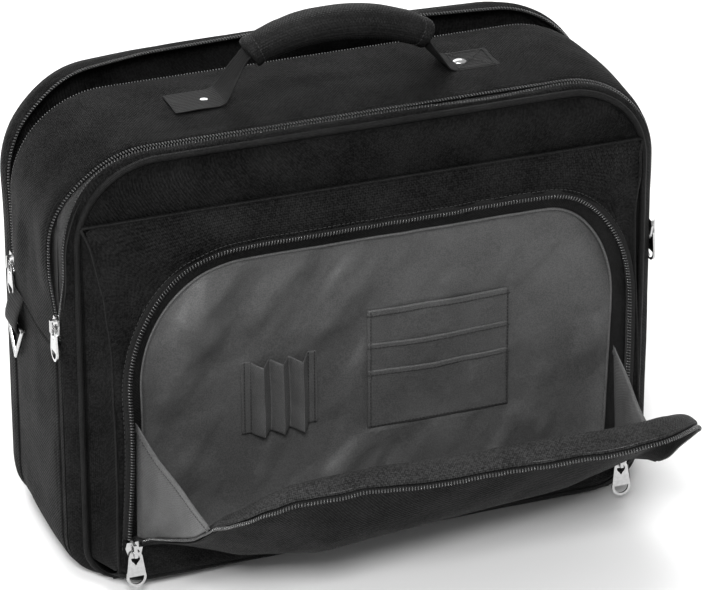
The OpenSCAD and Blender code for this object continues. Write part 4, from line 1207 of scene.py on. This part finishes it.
parts, taps = [], []
for s in (-1, 1):
    # the strap: pointed tab on the gusset, a bend beside the rivet, and the folded leg up into the grip
    foot_x = [(118, 320.9), (108, 320.9), (94, 320.9), (86, 321.1), (81.5, 323.0), (78.6, 327),
              (75.5, 332), (71.5, 338.5), (67.5, 345), (64, 350), (58, 354)]
    path = resample(np.array([(s * x, HANDLE_Y, z) for x, z in foot_x]), 1.6)
    run = np.concatenate([[0], np.cumsum(np.linalg.norm(np.diff(path, axis=0), axis=1))])
    lean = np.gradient(path, axis=0)
    normal = unit(np.stack([-s * lean[:, 2], 0 * run, s * lean[:, 0]], 1)) * -1
    normal = np.where(normal[:, 2:3] < -0.2, -normal, normal)
    half = np.interp(run, [0, 2, 36, 52, 64, 78], [14.6, 14.9, 14.9, 12.5, 9.2, 8.5])
    half = np.minimum(half, 14.9)
    curl = np.interp(run, [0, 34, 52, 66], [0.0, 0.3, 3.8, 5.2])
    section = np.linspace(-1, 1, 17)
    grid = []
    for v in section:
        pinch = curl * (1 - np.abs(v) ** 1.5)
        grid.append(path + np.array([0, 1, 0]) * (half * v)[:, None] - normal * pinch[:, None]
                    + normal * (0.35 * ripple(run, np.full(len(run), v * 15), 18, 161 + s))[:, None])
    grid = np.array(grid)
    grid[..., 2] = np.maximum(grid[..., 2], TAB_TOP + 0.9)
    parts.append(sheet_mesh("strap", grid, WEBBING, 1.0, 1 if s > 0 else -1, flip=s < 0, subdivide=1))
    x0, x1 = 88, 114
    box = [(x0, -12.4), (x1, -12.4), (x1, 12.4), (x0, 12.4), (x0, -12.4), (x1, 12.4), (x1, -12.4), (x0, 12.4)]
    line = np.array([(s * x, HANDLE_Y + y, TAB_TOP + 1.6) for x, y in box])
    for a, b in zip(line[:-1], line[1:]):
        if abs(a[0] - b[0]) + abs(a[1] - b[1]) > 1:
            taps.append(stitches("strap_stitch", np.linspace(a, b, 12), (0, 0, 1), 2.4, 0.6))
straps = join("handle_straps", parts + taps)
finish_piece(straps, ["handle_tabs", "handle_legs"],
             bend=("shell", "handle", (0, HANDLE_Y * MM, STRAP_BEND[0]), (0, HANDLE_Y * MM, STRAP_BEND[1])))

# ---- ring tabs ----
RING_Z = joint("ring_left_swing")["pos_m"][2] / MM
for s, name in ((-1, "left"), (1, "right")):
    low, high = node_box("ring_tab_" + name)
    tab_y = (low[1] + high[1]) / 2
    x_wall = HALF_W + 3.4
    bar_x, bar_z = (abs(low[0]) if s < 0 else high[0]) - 3.2, RING_Z
    loop = [(x_wall - 1.6, SEAM_Z + 1.5), (x_wall + 0.3, SEAM_Z - 2.5), (bar_x + 1.2, bar_z + 9),
            (bar_x + 2.6, bar_z + 3), (bar_x + 2.9, bar_z), (bar_x + 2.6, bar_z - 3.0), (bar_x + 0.6, bar_z - 4.8),
            (x_wall + 0.2, bar_z - 5.8), (x_wall - 1.4, bar_z - 4)]
    points = resample(np.array([(s * x, tab_y, z) for x, z in loop]), 1.2)
    outs = unit(points - np.array([s * (x_wall - 12), tab_y, bar_z + 3]))
    band = strip_mesh("ring_tab", points, outs, high[1] - low[1] - 1.2, 1.5, WEBBING)
    sew = [stitches("ring_tab_stitch", np.array([(s * (x_wall + 1.6), y, SEAM_Z - dz) for y in
                                                np.linspace(low[1] + 2, high[1] - 2, 12)]), (s, 0, 0), 2.4, 0.7)
           for dz in (4.0, 7.5)]
    tab = join("ring_tab_webbing_" + name, [band] + sew)
    finish_piece(tab, ["ring_tab_" + name], "shell")


# ---- inner cloth of the main compartment ----
low, high = node_box("main_lining")
stations = [(y, HALF_W - 2.6 - 0.8 * b, TOP - 2.6 - 0.8 * b, 0) for y, b in
            zip(np.linspace(low[1], high[1], 12), np.sin(np.linspace(0, math.pi, 12)))]
inner_cloth, inner_out = loft(stations, r_top=TOP_R - 4)
keep_rows = inner_cloth[0, :, 2] > low[2]
inner_cloth = inner_cloth[:, keep_rows]
run = run_length(inner_cloth)
slack = 0.6 + 0.6 * ripple(run, inner_cloth[..., 1], 50, 171)
inner_cloth = inner_cloth - inner_out[:, keep_rows] * slack[..., None]
walls = sheet_mesh("main_lining_cloth", inner_cloth, LINING, 0.6, 1)
finish_piece(walls, ["main_lining"], "shell")
low, high = node_box("divider_panel")
dx, dz = np.meshgrid(np.linspace(low[0] + 1, high[0] - 1, 70), np.linspace(low[2], high[2] - 2.0, 50))
corner = np.clip((np.abs(dx) - (HALF_W - TOP_R)) / TOP_R, 0, 1)
dz_top = high[2] - 3 - TOP_R * (1 - np.sqrt(1 - np.clip(corner * 0.985, 0, 1) ** 2))
foot = np.clip((np.abs(dx) - (HALF_W - FOOT_R)) / FOOT_R, 0, 1)
dz_low = low[2] + 1 + FOOT_R * 0.8 * (1 - np.sqrt(1 - np.clip(foot * 0.985, 0, 1) ** 2))
dz = dz_low + (dz_top - dz_low) * np.linspace(0, 1, 50)[:, None]
dy = low[1] + 0.2 + 1.2 * (0.5 + 0.5 * ripple(dx, dz, 70, 173)) * np.sin(math.pi * np.linspace(0, 1, 50))[:, None]
divider = sheet_mesh("divider_cloth", np.stack([dx, dy, dz], -1), LINING, 0.7, -1)
finish_piece(divider, ["divider_panel"], "shell")

# ---- pieces kept from the CAD model ----
METAL_BEVEL = 0.22


def keep_node(name, material, bevel=0.0):
    """A CAD part shown as it is, with its own material and softened edges."""
    obj = bpy.data.objects[name]
    obj.data.materials.clear()
    obj.data.materials.append(material)
    for face in obj.data.polygons:
        face.material_index = 0
    if bevel:
        soft = obj.modifiers.new("soft_edges", "BEVEL")
        soft.width, soft.segments, soft.limit_method, soft.angle_limit = bevel * MM, 3, "ANGLE", math.radians(25)
        soft.harden_normals = False
    return obj


for name in [obj.name for obj in bpy.data.objects if obj.type == "MESH"]:
    if name.startswith(("slider_", "pull_", "ring_left", "ring_right", "rivet", "handle_rivet")):
        keep_node(name, NICKEL, METAL_BEVEL)
keep_node("base_board", BOARD, 0.5)


# ---- camera, floor and light ----
def look(yaw, pitch, roll):
    """Camera axes as matrix columns, for angles in degrees."""
    a, e, r = (math.radians(v) for v in (yaw, pitch, roll))
    backward = Vector((-math.sin(a) * math.cos(e), -math.cos(a) * math.cos(e), math.sin(e)))
    right = Vector((math.cos(a), -math.sin(a), 0))
    up = backward.cross(right)
    right, up = right * math.cos(r) + up * math.sin(r), up * math.cos(r) - right * math.sin(r)
    return Matrix((right, up, backward)).transposed()


CAMERA_PLACE, CAMERA_ANGLES, CAMERA_LENS = (-0.9579, -2.6295, 1.5936), (20.358, 27.151, -0.058), 225
camera_data = bpy.data.cameras.new("camera")
camera_data.sensor_width = 36
camera_data.lens = CAMERA_LENS
camera_data.clip_end = 20
camera = bpy.data.objects.new("camera", camera_data)
camera.matrix_world = Matrix.Translation(CAMERA_PLACE) @ look(*CAMERA_ANGLES).to_4x4()
bpy.context.scene.collection.objects.link(camera)
bpy.context.scene.camera = camera

bpy.ops.mesh.primitive_plane_add(size=8, location=(0, 0, -0.0006))
floor = bpy.context.object
floor.name = "floor"
floor_shade = Shader("floor")
floor_place = floor_shade.node("ShaderNodeTexCoord").outputs["Object"]
floor_shade.link(floor_shade.mix(floor_shade.noise(3.0, floor_place), grey(0.86), grey(0.9)), "Base Color")
floor_shade.set(Roughness=0.9)
floor.data.materials.append(floor_shade.material)


def soft_light(name, place, target, size, power):
    data = bpy.data.lights.new(name, "AREA")
    data.shape = "RECTANGLE"
    data.size, data.size_y = size
    data.energy = power
    light = bpy.data.objects.new(name, data)
    light.location = place
    light.rotation_euler = (Vector(target) - Vector(place)).to_track_quat("-Z", "Y").to_euler()
    bpy.context.scene.collection.objects.link(light)


LIGHTS = (                      # name, place, height aimed at, size in metres, power in watts
    ("top_light", (-0.2, -0.2, 2.2), 0.2, (1.6, 1.2), 30), ("front_light", (-0.9, -2.2, 1.9), 0.15, (0.6, 0.6), 80),
    ("left_light", (-1.9, -0.3, 1.1), 0.15, (0.5, 1.0), 12), ("back_light", (0.3, 1.8, 1.4), 0.2, (1.6, 1.0), 16))
for name, place, aim, size, power in LIGHTS:
    soft_light(name, place, (0, 0, aim), size, power)
world = bpy.data.worlds.new("studio")
world.use_nodes = True
world.node_tree.nodes["Background"].inputs["Color"].default_value = (1, 1, 1, 1)
world.node_tree.nodes["Background"].inputs["Strength"].default_value = 0.6
bpy.context.scene.world = world
bpy.context.scene.view_settings.view_transform = "Standard"
